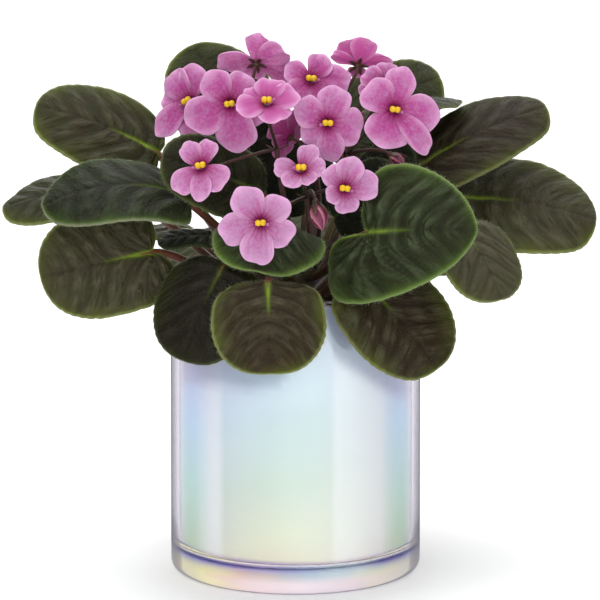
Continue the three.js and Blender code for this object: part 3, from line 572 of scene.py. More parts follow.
def leafParts(leaf, dice, growth):
    place = bladeFrame(leaf)
    blade = bladePart(leaf, place, dice, growth)
    path, radii = petiolePath(leaf, place, growth["stalk"])
    stalk = tubePart(path, radii, 12, 1)
    points, normals, _ = blade["top"]
    border = blade["border"]
    starts, runs = points[border[:, 0]], points[border[:, 1]] - points[border[:, 0]]
    spans = np.linalg.norm(runs, axis=1)
    edgeCount, napCount, stalkCount = (
        int(leafHairs[key] * growth["hairs"]) for key in ("edge", "nap", "stalk"))
    chosen = dice.choice(len(border), edgeCount, p=spans / spans.sum())
    places = starts[chosen] + runs[chosen] * dice.random((edgeCount, 1))
    facing = normals[border[chosen, 0]]
    outward = places - points.mean(axis=0)
    outward /= np.linalg.norm(outward, axis=1)[:, None]
    roots = places - facing * leafHairs["sunk"] + dice.normal(0, leafHairs["stray"], (edgeCount, 3))
    ways = outward + leafHairs["upward"] * facing + dice.normal(0, leafHairs["stray"], (edgeCount, 3))
    ways /= np.linalg.norm(ways, axis=1)[:, None]
    lengths = leafHairs["edgeShortest"] + leafHairs["edgeLonger"] * dice.random(edgeCount)
    fringe = hairPart(roots, ways, lengths, leafHairs["radius"], 3)
    nap = hairsOn(blade["top"], napCount, leafHairs["length"], leafHairs["radius"], 2, dice)
    fuzz = hairsOn(tubeTop(stalk), stalkCount, leafHairs["stalkLength"], leafHairs["radius"], 2, dice, 0.3)
    return [blade, stalk, fringe, nap, fuzz]


for number, (name, shape) in enumerate(leaves.items()):
    leaf = {**usualLeaf, **shape}
    skin, slotName = (freshLeaf, "fresh_leaf") if leaf["fresh"] else (darkLeaf, "dark_leaf")
    parts = leafParts(leaf, np.random.default_rng(100 + number), grown)
    addPiece(f"velvet_leaf_{name}", parts, [skin, petioleSkin, hairSkin, fringeSkin], slotName,
             f"leaf_{name}")
print("grown leaves made:", len(leaves))


# Crown: the short thick stem, with young leaves at its top
def crownParts():
    dice = np.random.default_rng(7)
    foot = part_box("crown")[0].z / mm
    heights = np.linspace(foot, crown["top"] - 4, 26)
    profile = [[0, foot]] + [[crown["radius"] - 1 + min(1, (h - foot) / 5), h] for h in heights]
    profile += [[crown["radius"] * 0.7, crown["top"] - 1], [crown["radius"] * 0.35, crown["top"]]]
    profile.append([0, crown["top"]])
    trunk = turnedPart(profile, 48, 1)
    out = trunk["points"]
    # rings of old leaf scars
    scars = np.sin(out[:, 2] * 1.3 + 3 * np.sin(np.arctan2(out[:, 1], out[:, 0]) * 3))
    share = 1 - (0.25 + crown["scar"] * scars) / crown["radius"]
    trunk["points"] = out * np.stack([share, share, np.ones_like(share)], axis=1)
    parts = [trunk]
    for leaf in youngLeaves:
        # the young leaves deep in the crown are painted almost black, as painted shade
        parts += leafParts({**usualLeaf, "dark": 0.85, **leaf}, dice, young)
    return parts


addPiece("crown_and_young_leaves", crownParts(), [freshLeaf, crownSkin, hairSkin, fringeSkin], "crown_stem",
         "crown")
print("crown made")


# Petals: soft thin tissue of clear cells. It looks satiny, with a fine sparkle, paler at its edge and deep
# magenta in the throat, with faint streaks that run out from it.
petalColours = {"deep": "#a03a80", "pale": "#a978a0", "edge": "#d6a8cc", "throat": "#7c0a50",
                "deepBack": "#cc58a2", "paleBack": "#dc98cc", "backEdge": "#eab6de"}


def satinPetal():
    material, tree, where, carried = newMaterial(
        "satinPetal", "pale", "edge", "deep", "streak", "shade", "back")
    broad, fine, grain = (
        addNode(tree, "TexNoise", {"Vector": where, "Scale": perSize(size), "Detail": detail})
        for size, detail in ((5, 4), (1.3, 3), (0.7, 3)))
    broad = addNode(tree, "Math", [broad, 1.35, -1.5], operation="MULTIPLY_ADD")
    mottle = addNode(tree, "Math", [fine, 1.65, broad], operation="MULTIPLY_ADD")
    tone = addNode(tree, "Math", [carried["pale"], mottle], operation="ADD", use_clamp=True)
    backColour = layeredColour(tree, petalColours["deepBack"], [(tone, 1.0, petalColours["paleBack"])])
    backEdge = addNode(tree, "Math", [carried["edge"], carried["back"]], operation="MULTIPLY")
    streaked = addNode(tree, "Math", [carried["streak"], 0.45, carried["deep"]],
                       operation="MULTIPLY_ADD", use_clamp=True)
    front = addNode(tree, "Math", [carried["back"], -0.6, 1.0], operation="MULTIPLY_ADD")
    # painted shade: the back of a flower that lies in shade is painted toward the deep throat colour, so
    # stain is the throat's own magenta and also this painted shade
    shaded = addNode(tree, "Math", [carried["shade"], carried["back"]], operation="MULTIPLY")
    stain = addNode(tree, "Math", [streaked, front, shaded], operation="MULTIPLY_ADD", use_clamp=True)
    colour = layeredColour(tree, petalColours["deep"], [
        (tone, 1.0, petalColours["pale"]), (carried["edge"], 0.8, petalColours["edge"]),
        (carried["back"], 0.85, backColour), (backEdge, 0.6, petalColours["backEdge"]),
        (stain, 1.0, petalColours["throat"])])
    relief = addNode(tree, "Bump", {"Height": grain, "Distance": 0.25 * mm, "Strength": 0.7})
    return finishMaterial(material, {
        "Base Color": colour, "Normal": relief, "Roughness": 0.5, "IOR": 1.4, "Specular IOR Level": 0.35,
        "Subsurface Weight": 0.1, "Subsurface Radius": [0.0016, 0.0008, 0.0012], "Sheen Weight": 0.08,
        "Sheen Roughness": 0.4, "Sheen Tint": "#ffd6f2"})


petalSkin = satinPetal()

# Anthers: waxy yellow pollen sacs, with a soft shine
antherSkin = mottledSkin("waxyAnther", ["#f2cf14", "#b07c0c"], {
    "Roughness": 0.38, "IOR": 1.45, "Subsurface Weight": 0.1, "Subsurface Radius": [0.001, 0.0006, 0.0002]},
    1.2, 3, relief=(0.4, 2, 0.1, 0.5))

# Flowers: the middle of the throat, the way the flower looks, how pale it is, and its five petals. A petal
# has its turn about the flower's axis in degrees, its length from the throat and its width.
blooms = [
    {"at": [-47, -8, 211.5], "faces": [-0.5, -0.75, 0.25], "pale": 0.15, "stalk": 1,
     "petals": [[48, 16.5, 13], [100, 15.5, 13], [150, 13, 13], [201, 20.5, 11.5], [258, 17, 13.5]]},
    {"at": [-28.5, -25, 214], "faces": [-0.15, -0.95, 0.1], "pale": 0.05, "stalk": 1,
     "petals": [[48, 15, 13], [120, 16.5, 14], [197, 21, 16.5], [276, 21.5, 17], [325, 17, 9.5]]},
    {"at": [-16.5, 0, 228], "faces": [0.2, 0.8, 0.5], "pale": 0.3, "stalk": 1,
     "petals": [[17, 20, 13], [100, 12, 11], [156, 19, 11.5], [262, 15, 11], [318, 16, 14]]},
    {"at": [-12.4, -42, 218], "faces": [0, -0.5, 0.86], "pale": -0.5, "stalk": 2,
     "petals": [[20, 14.5, 14.5], [80, 14.5, 13], [138, 12, 11.5], [205, 14, 13.5], [293, 13, 14]]},
    {"at": [-41, -46, 190.6], "faces": [-0.2, -0.85, 0.45], "pale": 0.35, "stalk": 2,
     "petals": [[62, 12.5, 9], [117, 12.5, 9], [215, 15.8, 11], [263, 15.8, 9], [310, 14.5, 12.5]]},
    {"at": [6.8, -12, 222], "faces": [0.1, -0.8, 0.5], "pale": 0.0, "stalk": 3,
     "petals": [[4, 17.5, 13], [62, 12.5, 11], [160, 12.5, 10.5], [230, 15.5, 12.5], [298, 13, 12]]},
    {"at": [27.3, 5, 226], "faces": [0, 0.9, 0.4], "pale": -0.3, "stalk": 3,
     "petals": [[355, 15, 7], [95, 8, 8], [200, 12.5, 6], [243, 13, 11.5], [290, 13.5, 11.5]]},
    # this flower lies in shade behind the others, and its shade value paints its back darker: painted shade
    {"at": [-4, -10, 197], "faces": [-0.6, 0.5, 0.3], "pale": -0.4, "shade": 0.45, "sepals": 0.4, "stalk": 3,
     "petals": [[60, 12, 11], [122, 13, 12], [192, 9, 10], [266, 14.5, 12], [348, 14, 12]]},
    {"at": [14, -38, 208], "faces": [0.05, -0.97, 0.2], "pale": 0.25, "stalk": 4,
     "petals": [[76, 16.5, 14], [153, 16, 13], [215, 13, 11], [278, 16.8, 11.5], [351, 15.5, 16]]},
    {"at": [43, -38, 214], "faces": [0.15, -0.95, 0.2], "pale": 0.1, "stalk": 4,
     "petals": [[87, 18.9, 13], [148, 16.5, 15], [254, 17.2, 19], [318, 24, 9.7], [359, 20, 15.8]]},
    {"at": [38, -19, 220.5], "faces": [-0.1, -0.8, 0.5], "pale": 0.2, "stalk": 4,
     "petals": [[76, 11, 10.5], [135, 10.5, 10], [205, 11, 10], [288, 12.5, 10], [8, 12, 10]]},
    {"at": [-14.9, -66, 170], "faces": [-0.1, -0.97, 0.1], "pale": 0.7, "stalk": 5,
     "petals": [[38, 15, 12], [117, 17.5, 14], [190, 19, 13.5], [258, 18.5, 14], [327, 15.5, 12.5]]},
    {"at": [2.4, -54, 191], "faces": [0, -0.7, 0.7], "pale": 0.6, "stalk": 5,
     "petals": [[5, 11, 9], [66, 13, 9], [176, 12, 9.5], [236, 11.5, 9], [300, 9, 8]]},
    {"at": [21.3, -57.4, 183.2], "faces": [0.12, -0.93, 0.2], "pale": 0.6, "stalk": 5,
     "petals": [[14, 15, 12.3], [80, 14, 11.5], [140, 12, 9.5], [215, 9, 8], [284, 11, 10]]},
]
petalSizes = {"fuller": 1.08, "throat": 1.3, "deep": 2.0, "stain": 5.0, "thick": 0.42, "widest": 0.6,
              "fold": 0.35, "foldWidth": 0.16, "wave": 0.5, "ripple": 0.25, "levels": [-0.25, 0.45],
              "throatFall": 1.6, "rows": 18, "columns": 18}


# A flower's own axes: two across and one out of the throat, as the shortest turn from +Z gives
def flowerPlace(flower):
    out = unit(flower["faces"])
    cross, cosine = np.cross([0, 0, 1], out), out[2]
    skew = np.array([[0, -cross[2], cross[1]], [cross[2], 0, -cross[0]], [-cross[1], cross[0], 0]])
    return np.eye(3) + skew + skew @ skew / (1 + cosine)


def turnedSheet(out, side, height, angle):  # a sheet that reaches out from the axis, turned about it
    out, side, height = np.broadcast_arrays(out, side, height)
    return np.stack([out * math.cos(angle) - side * math.sin(angle),
                     out * math.sin(angle) + side * math.cos(angle), height], axis=2)


def placed(part, flower):
    part["points"] = part["points"] @ flowerPlace(flower).T + flower["at"]
    return part


def petalPart(flower, number, dice):  # widest past its middle, folded down its length, with a waved edge
    turn, length, width = flower["petals"][number]
    width *= petalSizes["fuller"]
    t = np.sin(np.linspace(0, 1, petalSizes["rows"] + 1) * np.pi / 2)[:, None]
    q = np.linspace(-1, 1, petalSizes["columns"] + 1)[None, :] * (t < 0.999)  # the last row is the tip point
    widest = petalSizes["widest"]
    breadth = np.where(t < widest, 0.3 + 0.7 * np.sin(np.pi / 2 * t / widest) ** 0.9,
                       np.sqrt(np.maximum(0, 1 - ((t - widest) / (1 - widest)) ** 2)))
    breadth[-1] = 0
    phases = dice.random(4) * 2 * np.pi
    edge = np.clip(np.maximum(t ** 6, np.abs(q) ** 4 * np.clip(t * 2.5, 0, 1)), 0, 1)
    out = petalSizes["throat"] + (length - petalSizes["throat"]) * t
    wide = breadth * q
    out = out + 0.035 * length * t ** 3 * np.cos(wide * 4 + phases[0])
    side = width / 2 * wide
    side = side * (1 + 0.05 * np.sin(t * 7 + phases[1]) * np.sign(q))
    side = side + 0.03 * length * t ** 2 * math.sin(phases[2])
    fold = -petalSizes["fold"] * np.exp(-(q / petalSizes["foldWidth"]) ** 2) * np.sin(np.pi * t)
    bow = (dice.random() - 0.35) * 0.16 * width * wide ** 2 * t
    wave = petalSizes["wave"] * edge * np.sin(wide * 5 + t * 4 + phases[3])
    wave = wave + petalSizes["ripple"] * t ** 2 * np.sin(wide * 9 + phases[0])
    bend = length * (0.12 * t - (0.06 + 0.14 * dice.random()) * t ** 3)
    level = petalSizes["levels"][number % 2] * np.clip(t * 3, 0, 1)
    height = bend + fold + bow + wave * np.clip(t * 2, 0, 1) + level
    height = height - petalSizes["deep"] * np.exp(-(out - petalSizes["throat"]) / petalSizes["throatFall"])
    grid = turnedSheet(out, side, height, math.radians(turn))
    reach = np.hypot(out, side)
    values = {
        "edge": edge, "pale": flower["pale"] + 0.25 * t,
        "deep": np.exp(-(reach / petalSizes["stain"]) ** 2.2), "shade": flower.get("shade", 0.0),
        "streak": np.abs(np.sin(q * 9)) ** 4 * np.clip(1.15 - t * 1.5, 0, 1),
    }
    half = petalSizes["thick"] * (0.62 - 0.3 * t)
    return platePart("petal", grid, half, half, 0, values)


def ballPart(at, sizes, skin, groove=0.0):  # an egg with the given half sizes, and a groove round its middle
    up, around = np.linspace(0, np.pi, 13)[:, None], ringAngles(18)
    radius = 1 - groove * np.exp(-(np.sin(around) / 0.25) ** 2) * np.sin(up)
    grid = ringGrid(radius * np.sin(up), -np.cos(up), around) * sizes + at
    return roundPart("ball", grid, skin, {"along": 0.5})


antherSizes = {"spread": 1.05, "half": [1.5, 1.4, 1.5], "height": 1.5, "groove": 0.16, "thread": 0.4,
               "style": 0.35, "stigma": [0.75, 0.75, 0.6]}
# the small cup that closes the throat
cupProfile = [[0, -2.5], [1.2, -2.4], [1.75, -1.8], [1.75, -1.5], [1.2, -1.9], [0, -2.1]]

for number, flower in enumerate(blooms):
    dice = np.random.default_rng(300 + number)
    corolla = [petalPart(flower, petal, dice) for petal in range(len(flower["petals"]))]
    corolla.append(turnedPart(cupProfile, 20, 0, {"deep": 1.0}))
    addPiece(f"corolla_{number + 1:02d}", [placed(part, flower) for part in corolla], [petalSkin], "petal",
             f"bloom_{number + 1:02d}_petals")
    centre = []
    for side in (-1, 1):
        at = [side * antherSizes["spread"], 0, antherSizes["height"]]
        centre.append(ballPart(at, antherSizes["half"], 0, antherSizes["groove"]))
        thread = [[side * 0.5, 0.2, -1.6], [side * 0.8, 0.15, -0.4], [side, 0, 0.9]]
        centre.append(tubePart(thread, antherSizes["thread"], 8, 0))
    lean = 1 if number % 2 else -1
    style = bezier([[0, -0.6, -1.6], [lean, -1.2, 0], [2.6 * lean, -1.3, 1.2], [3.1 * lean, -0.9, 2.4]], 10)
    centre += [tubePart(style, antherSizes["style"], 8, 1), ballPart(style[-1], antherSizes["stigma"], 1)]
    addPiece(f"anthers_and_pistil_{number + 1:02d}", [placed(part, flower) for part in centre],
             [antherSkin, pistilSkin], "anther", f"bloom_{number + 1:02d}_anthers")
print("flowers made:", len(blooms))


# Buds: closed petals folded over each other, deep magenta
budSkin = mottledSkin("foldedBud", ["#5e0f3c", "#b87a80"], {
    "Roughness": 0.5, "IOR": 1.4, "Sheen Weight": 0.05, "Sheen Tint": "#f5b8dc"},
    spread=0.0, over="fold", relief=(0.6, 2, 0.12, 0.5))
buds = [
    {"at": [9, -56.5, 176], "faces": [0.2, -0.6, -0.75], "radius": 4.2, "length": 13, "stalk": 5},
    {"at": [42, -27, 191], "faces": [0.4, -0.7, -0.2], "radius": 3.2, "length": 10, "stalk": 4},
]


def budPart(bud):
    share, around = np.linspace(0, 1, 25)[:, None], ringAngles(60)
    twist = 5 * around + 5 * share + 0.5 * np.sin(2 * around + 6 * share)
    fold = np.mod(twist / (2 * np.pi), 1) ** 4  # each fold is deep at its foot and pale at its edge
    radius = bud["radius"] * np.abs(np.sin(np.pi * share ** 0.8)) ** 0.8
    radius = radius * (0.88 + 0.16 * fold * np.sin(np.pi * share))
    radius[0, :], radius[-1, :] = 0, 0
    return roundPart("bud", ringGrid(radius, bud["length"] * share, around), 0, {"fold": fold})


for number, bud in enumerate(buds):
    addPiece(f"folded_bud_{number + 1}", [placed(budPart(bud), bud)], [budSkin], "bud", f"bud_{number + 1}")
print("buds made:", len(buds))

# Flower stalks: a main stalk to the fork, a thinner one to each flower, and five narrow sepals behind it
stalks = [
    {"turn": 165, "root": 136, "fork": [-24, -4, 190]},
    {"turn": 268, "root": 138, "fork": [-8, -22, 194]},
    {"turn": 45, "root": 137, "fork": [8, -2, 192]},
    {"turn": 5, "root": 138, "fork": [22, -8, 188]},
    {"turn": 296, "root": 136, "fork": [5, -19, 172]},
]
stalkSizes = {"main": 1.2, "thin": 0.8, "slope": 60, "sepals": 5, "sepalLength": 5.0, "sepalWidth": 1.6,
              "sepalThick": 0.4, "behindBloom": 1.9, "behindBud": 0.3, "hairs": 130,
              "hairLength": 0.9, "hairRadius": 0.045, "knob": [1.5, 1.5, 1.2], "claspWidth": 2.6,
              "claspRise": 5.2, "bract": 5, "bractWidth": 1.6}


def sepalPart(length, width, base, rise, curl, turn, belly=1.0):  # a narrow pointed blade
    t = np.linspace(0, 1, 11)[:, None]
    v = np.linspace(-1, 1, 7)[None, :]
    half = width / 2 * np.sin(np.pi * t ** 0.75) ** 0.8
    half[0], half[-1] = 0.5, 0
    out = 0.5 + (length - 0.5) * t ** belly
    height = base + rise * t + curl * t ** 2 + 0.25 * v ** 2 * np.sin(np.pi * t)
    thick = stalkSizes["sepalThick"] / 2
    return platePart("sepal", turnedSheet(out, half * v, height, turn), thick, thick, 1, {"along": t})


def calyxParts(flower, back, closed, dice):
    parts = [ballPart([0, 0, back - 1.1], stalkSizes["knob"], 1)]
    for n in range(stalkSizes["sepals"]):
        turn = n / stalkSizes["sepals"] * 2 * math.pi
        if closed:  # the sepals clasp the bud
            rise = stalkSizes["claspRise"] + dice.random()
            sepal = sepalPart(flower["radius"] * 1.2, stalkSizes["claspWidth"], back - 0.3, rise, 2.6, turn,
                              0.6)
        else:
            length = stalkSizes["sepalLength"] * flower.get("sepals", 1)
            rise = 0.5 * dice.random() - 0.3
            sepal = sepalPart(length, stalkSizes["sepalWidth"], back - 0.6, rise, -0.8, turn)
        parts.append(sepal)
    return [placed(part, flower) for part in parts]


def stalkParts(number, stalk, dice):
    turn, lean = math.radians(stalk["turn"]), math.radians(stalkSizes["slope"])
    outward = np.array([math.cos(turn), math.sin(turn), 0])
    start = outward * (crown["radius"] + crown["gap"] + stalkSizes["main"]) + [0, 0, stalk["root"]]
    fork = np.array(stalk["fork"], float)
    span = np.linalg.norm(fork - start)
    rise = outward * math.cos(lean) + [0, 0, math.sin(lean)]
    path = bezier([start, start + rise * span * 0.35, fork - [0, 0, span * 0.25], fork], 26)
    parts = [tubePart(path, np.linspace(stalkSizes["main"], stalkSizes["main"] * 0.85, 26), 12, 0)]
    held = [(flower, -stalkSizes["behindBloom"], False) for flower in blooms if flower["stalk"] == number]
    held += [(bud, -stalkSizes["behindBud"], True) for bud in buds if bud["stalk"] == number]
    for flower, back, closed in held:
        turned = flowerPlace(flower)
        neck, behind = (turned @ [0, 0, back - far] + flower["at"] for far in (1.6, 8))
        above = fork + (behind - fork) * 0.4 + [0, 0, 1.5]
        thin = bezier([fork - [0, 0, 1], above, behind, neck], 22)
        parts.append(tubePart(thin, np.linspace(1.0, 0.85, 22) * stalkSizes["thin"], 10, 0))
        parts += calyxParts(flower, back, closed, dice)
    for side in (-1, 1):  # two small bracts under the fork
        aside = turn + side * math.pi / 2
        bract = sepalPart(stalkSizes["bract"], stalkSizes["bractWidth"], 0, 1.5, 1.0, aside)
        bract["points"] = bract["points"] + fork - [0, 0, 1.5]
        parts.append(bract)
    tubes = [part for part in parts if part["skin"] == 0]
    count, length, radius = stalkSizes["hairs"], stalkSizes["hairLength"], stalkSizes["hairRadius"]
    return parts + [hairsOn(tubeTop(part), count, length, radius, 2, dice, 0.3) for part in tubes]


for number, stalk in enumerate(stalks, 1):
    dice = np.random.default_rng(500 + number)
    addPiece(f"stalk_and_calyxes_{number}", stalkParts(number, stalk, dice), [stalkSkin, sepalSkin, hairSkin],
             "flower_stalk", f"flower_stalk_{number}")
print("flower stalks made:", len(stalks))


# Pots and soil
pot = {"radius": 55, "height": 132, "wall": 3.5, "floor": 11, "heel": 4, "fillet": 5, "segments": 192,
       "air": 0.15, "coat": 0.1, "lift": 0.05, "coatBelow": 3, "lineUp": 1.6, "lineWide": 1.5, "shade": 6,
       "plugFoot": [3, 0.9], "plugTop": [5.5, 0.3]}


def arc(centre, radius, start, end, steps):
    angles = np.radians(np.linspace(start, end, steps + 1))
    return [[centre[0] + radius * math.cos(a), centre[1] + radius * math.sin(a)] for a in angles]


def spaced(start, end, count):  # points between two corners of a profile, without its ends
    return [[start[0] + (end[0] - start[0]) * n / count, start[1] + (end[1] - start[1]) * n / count]
            for n in range(1, count)]


# Clear glass: mouth-blown soda-lime glass, fire-polished. It bends what stands behind it and shines. Where it
# is seen along its edge, a dark tint and a dark matt layer are mixed in as a painted dark edge. Lamps shine
# through it, so that the coat inside is lit.
def sodaGlass():
    material, tree, where, _ = newMaterial("clearSodaGlass")
    edge = addNode(tree, "LayerWeight", {"Blend": 0.5}, "Facing")
    tintAndPaintedEdge = addNode(tree, "ValToRGB", [edge], stops=[
        (0.0, "#fbfafc"), (0.6, "#f2eff6"), (0.64, "#a39caf"), (0.68, "#7e768c"), (0.735, "#6b6479"),
        (0.8, "#564f66")])
    glass = addNode(tree, "BsdfPrincipled", {
        "Base Color": tintAndPaintedEdge, "Roughness": 0.01, "IOR": 1.5, "Transmission Weight": 1.0})
    # painted dark edge: a dark matt layer, mixed in where the glass is seen along its edge
    rim = addNode(tree, "BsdfPrincipled", {
        "Base Color": "#4e4a60", "Roughness": 0.9, "Specular IOR Level": 0.0})
    paintedEdgeShare = addNode(tree, "MapRange", {"Value": edge, "From Min": 0.67, "From Max": 0.94, "To Max": 0.9})
    height = addNode(tree, "SeparateXYZ", [where], "Z")
    wallShare = addNode(tree, "MapRange", {  # the thick foot stays clearer than the wall
        "Value": height, "From Min": 4 * mm, "From Max": 14 * mm, "To Min": 0.4})
    share = addNode(tree, "Math", [paintedEdgeShare, wallShare], operation="MULTIPLY")
    edged = addNode(tree, "MixShader", [share, glass, rim])
    passing = addNode(tree, "BsdfTransparent", {"Color": "#f4f6fa"})
    lampRay = addNode(tree, "LightPath", output="Is Shadow Ray")
    mixed = addNode(tree, "MixShader", [lampRay, edged, passing])
    addNode(tree, "OutputMaterial", {"Surface": mixed})
    return material


# Pearl coat: a thin lustre fired on the inside. Its film turns light to soft lavender, blue, mint and straw.
# Its
# colour also holds painted light: painted lamp reflections in upright bands on the front, painted shade under
# the hanging leaves, and painted sheen and shade at the left and right sides and along the silhouettes.
def pearlFilmAndPaintedLight():
    material, tree, where, carried = newMaterial(
        "pearlLustreAndPaintedLight", "light", "side", "edge", "line", "overhung")
    across, up = (addNode(tree, "SeparateXYZ", [where], axis) for axis in "XZ")
    height = addNode(tree, "MapRange", {
        "Value": up, "From Min": pot["floor"] * mm, "From Max": pot["height"] * mm})
    noise = addNode(tree, "TexNoise", {"Vector": where, "Scale": perSize(60), "Detail": 1})
    cloud = addNode(tree, "Math", [noise, 0.25, -0.125], operation="MULTIPLY_ADD")
    drift = addNode(tree, "Math", [across, -2.2, cloud], operation="MULTIPLY_ADD")
    share = addNode(tree, "Math", [height, drift], operation="ADD")
    middle = addNode(tree, "ValToRGB", [share], stops=[
        (0.0, "#e0d2b8"), (0.12, "#d9d6bb"), (0.32, "#c5cfc0"), (0.55, "#c5d3d8"), (0.72, "#d9e3f1"),
        (0.95, "#e8e6fa")])
    # painted sheen and shade: the darker, stronger colours at the left and right sides, and at the
    # silhouettes, set by X
    sides = addNode(tree, "ValToRGB", [height], stops=[
        (0.05, "#a2d68e"), (0.26, "#8fe0bc"), (0.5, "#9cdcf0"), (0.85, "#b6b6ee")])
    violet = addNode(tree, "Math", [height, 3.5, -0.2], operation="MULTIPLY_ADD", use_clamp=True)
    edge = layeredColour(tree, "#94bfa2", [(violet, 1.0, "#8f84c8")])
    # painted light over the lustre: lamp reflections in upright bands, sheen and shade at the sides and
    # silhouettes, and shade under the leaves
    colour = layeredColour(tree, middle, [
        (carried["light"], 0.85, "#fbfcf8"), (carried["side"], 0.9, sides), (carried["edge"], 0.9, edge),
        (carried["line"], 1.0, "#4a3cc0"), (carried["overhung"], 0.6, "#6a6c90")])
    return finishMaterial(material, {
        "Base Color": colour, "Roughness": 0.3, "IOR": 1.5, "Thin Film Thickness": 380.0,
        "Thin Film IOR": 1.7, "Sheen Weight": 0.5, "Sheen Roughness": 0.35, "Sheen Tint": "#b7b4ee"})


# Foot lustre: the same film fired into the thick base. Its soft patches of straw, peach and blue, laid across
# it from left to right, and its pale pinkish lower zone are partly the film's tint and partly painted light
# caught in the thick glass.
def footFilmAndPaintedLight():
    material, tree, where, carried = newMaterial("footLustreAndPaintedLight", "high", "strong")
    side = addNode(tree, "SeparateXYZ", [where], "X")
    across = addNode(tree, "MapRange", {
        "Value": side, "From Min": -pot["radius"] * mm, "From Max": pot["radius"] * mm})
    drawn = addNode(tree, "VectorMath", [where, (0.8, 0.8, 3.5)], operation="MULTIPLY")
    noise = addNode(tree, "TexNoise", {"Vector": drawn, "Scale": perSize(26), "Detail": 2})
    cloud = addNode(tree, "Math", [noise, 0.3, -0.15], operation="MULTIPLY_ADD")
    share = addNode(tree, "Math", [across, cloud], operation="ADD")
    # the patches run across the base from left to right: the film's tint and painted light in the thick glass
    patches = addNode(tree, "ValToRGB", [share], stops=[
        (0.05, "#f0f0c0"), (0.16, "#fffaa4"), (0.3, "#ecc99c"), (0.45, "#b9bdb2"), (0.6, "#b0c8ce"),
        (0.72, "#ccdcd8"), (0.84, "#f4f4c4"), (0.96, "#ececd8")])
    low = addNode(tree, "Math", [carried["high"], -3.0, 2.25], operation="MULTIPLY_ADD", use_clamp=True)
    fromMiddle = addNode(tree, "Math", [across, 0.53], operation="SUBTRACT")
    aside = addNode(tree, "Math", [fromMiddle], operation="ABSOLUTE")
    middle = addNode(tree, "MapRange", {
        "Value": aside, "From Min": 0.2, "From Max": 0.4, "To Min": 0.85, "To Max": 0.25})
    top = addNode(tree, "Math", [carried["high"], 4.0], operation="POWER")
    colour = layeredColour(tree, patches, [(low, middle, "#f0dce0"), (carried["strong"], top, "#675cc0")])
    waves = addNode(tree, "TexNoise", {"Vector": where, "Scale": perSize(14), "Detail": 1})
    relief = addNode(tree, "Bump", {"Height": waves, "Distance": 0.3 * mm, "Strength": 0.5})
    return finishMaterial(material, {"Base Color": colour, "Normal": relief, "Roughness": 0.4, "IOR": 1.6})


innerRadius = pot["radius"] - pot["wall"]
lip = pot["wall"] / 2
under = pot["lift"]
glassProfile = [[0, under]] + spaced([0, under], [pot["radius"] - pot["heel"], under], 6)
glassProfile += arc([pot["radius"] - pot["heel"], pot["heel"] + under], pot["heel"], -90, 0, 10)
glassProfile += spaced([pot["radius"], pot["heel"]], [pot["radius"], pot["height"] - lip], 12)
glassProfile += arc([pot["radius"] - lip, pot["height"] - lip], lip, 0, 180, 12)
glassProfile += spaced([innerRadius, pot["height"] - lip], [innerRadius, pot["floor"] + pot["fillet"]], 12)
glassProfile += arc([innerRadius - pot["fillet"], pot["floor"] + pot["fillet"]], pot["fillet"], 0, -90, 8)
glassProfile += spaced([innerRadius - pot["fillet"], pot["floor"]], [0, pot["floor"]], 6)
glassProfile.append([0, pot["floor"]])


def linerParts():  # the coat, as a thin cup just inside the glass
    outer, foot = innerRadius - pot["air"], pot["floor"] + pot["air"]
    inner, bend, top = outer - pot["coat"], pot["fillet"], pot["height"] - pot["coatBelow"]
    outside = [[0, foot]] + spaced([0, foot], [outer - bend, foot], 10)
    outside += arc([outer - bend, foot + bend], bend, -90, 0, 10)
    outside += spaced([outer, foot + bend], [outer, top], 30) + [[outer, top]]
    inside = [[inner, top]] + spaced([inner, top], [inner, foot + bend], 12)
    inside += arc([inner - bend, foot + pot["coat"] + bend], bend, 0, -90, 8) + [[0, foot + pot["coat"]]]
    profile = outside + inside
    heights = np.array([height for _, height in profile])[:, None]
    radii = np.array([radius for radius, _ in profile])[:, None]
    line = np.exp(-((heights - foot - pot["lineUp"]) / pot["lineWide"]) ** 2) * (radii > outer - bend + 0.5)
    around = ringAngles(pot["segments"])
    side = np.cos(around)  # from left to right
    front = np.sin(around) < 0.2
    # painted reflections of the lamps: on the front, two soft upright bands of the coat are painted lighter
    paintedLight = np.interp(side, [-0.9, -0.78, -0.64, -0.59, -0.2, 0.29, 0.34, 0.72, 0.9],
                    [0, 0.6, 0.6, 0, 0, 0.25, 0.62, 0.62, 0])
    strong = np.interp(side, [-1, -0.6, -0.3, 0, 0.35, 0.55, 0.75, 1], [1, 1, 0.85, 0.5, 0.1, 0.3, 1, 1])
    leafEnd = np.interp(side, [-1, -0.8, -0.6, -0.4, -0.15, 0, 0.25, 0.33, 0.55, 0.75, 0.9, 1],
                        [84, 88, 90, 89, 92, 101, 118, 103, 94, 85, 79, 75])
    values = {  # overhung is the shade under the leaves
        "line": line * strong, "light": paintedLight * front,
        # painted shade under the hanging leaves: the coat is painted darker from where the leaves end up to
        # the rim
        "overhung": np.clip((heights - np.where(front, leafEnd, 94)) / pot["shade"], 0, 1),
        # painted sheen and shade toward the left and right sides, and along the silhouettes seen from the
        # front
        "side": np.interp(np.abs(side), [0.7, 0.88], [0, 1]),
        "edge": np.interp(np.abs(side), [0.95, 0.99], [0, 1]),
    }
    return turnedPart(profile, pot["segments"], 1, values)


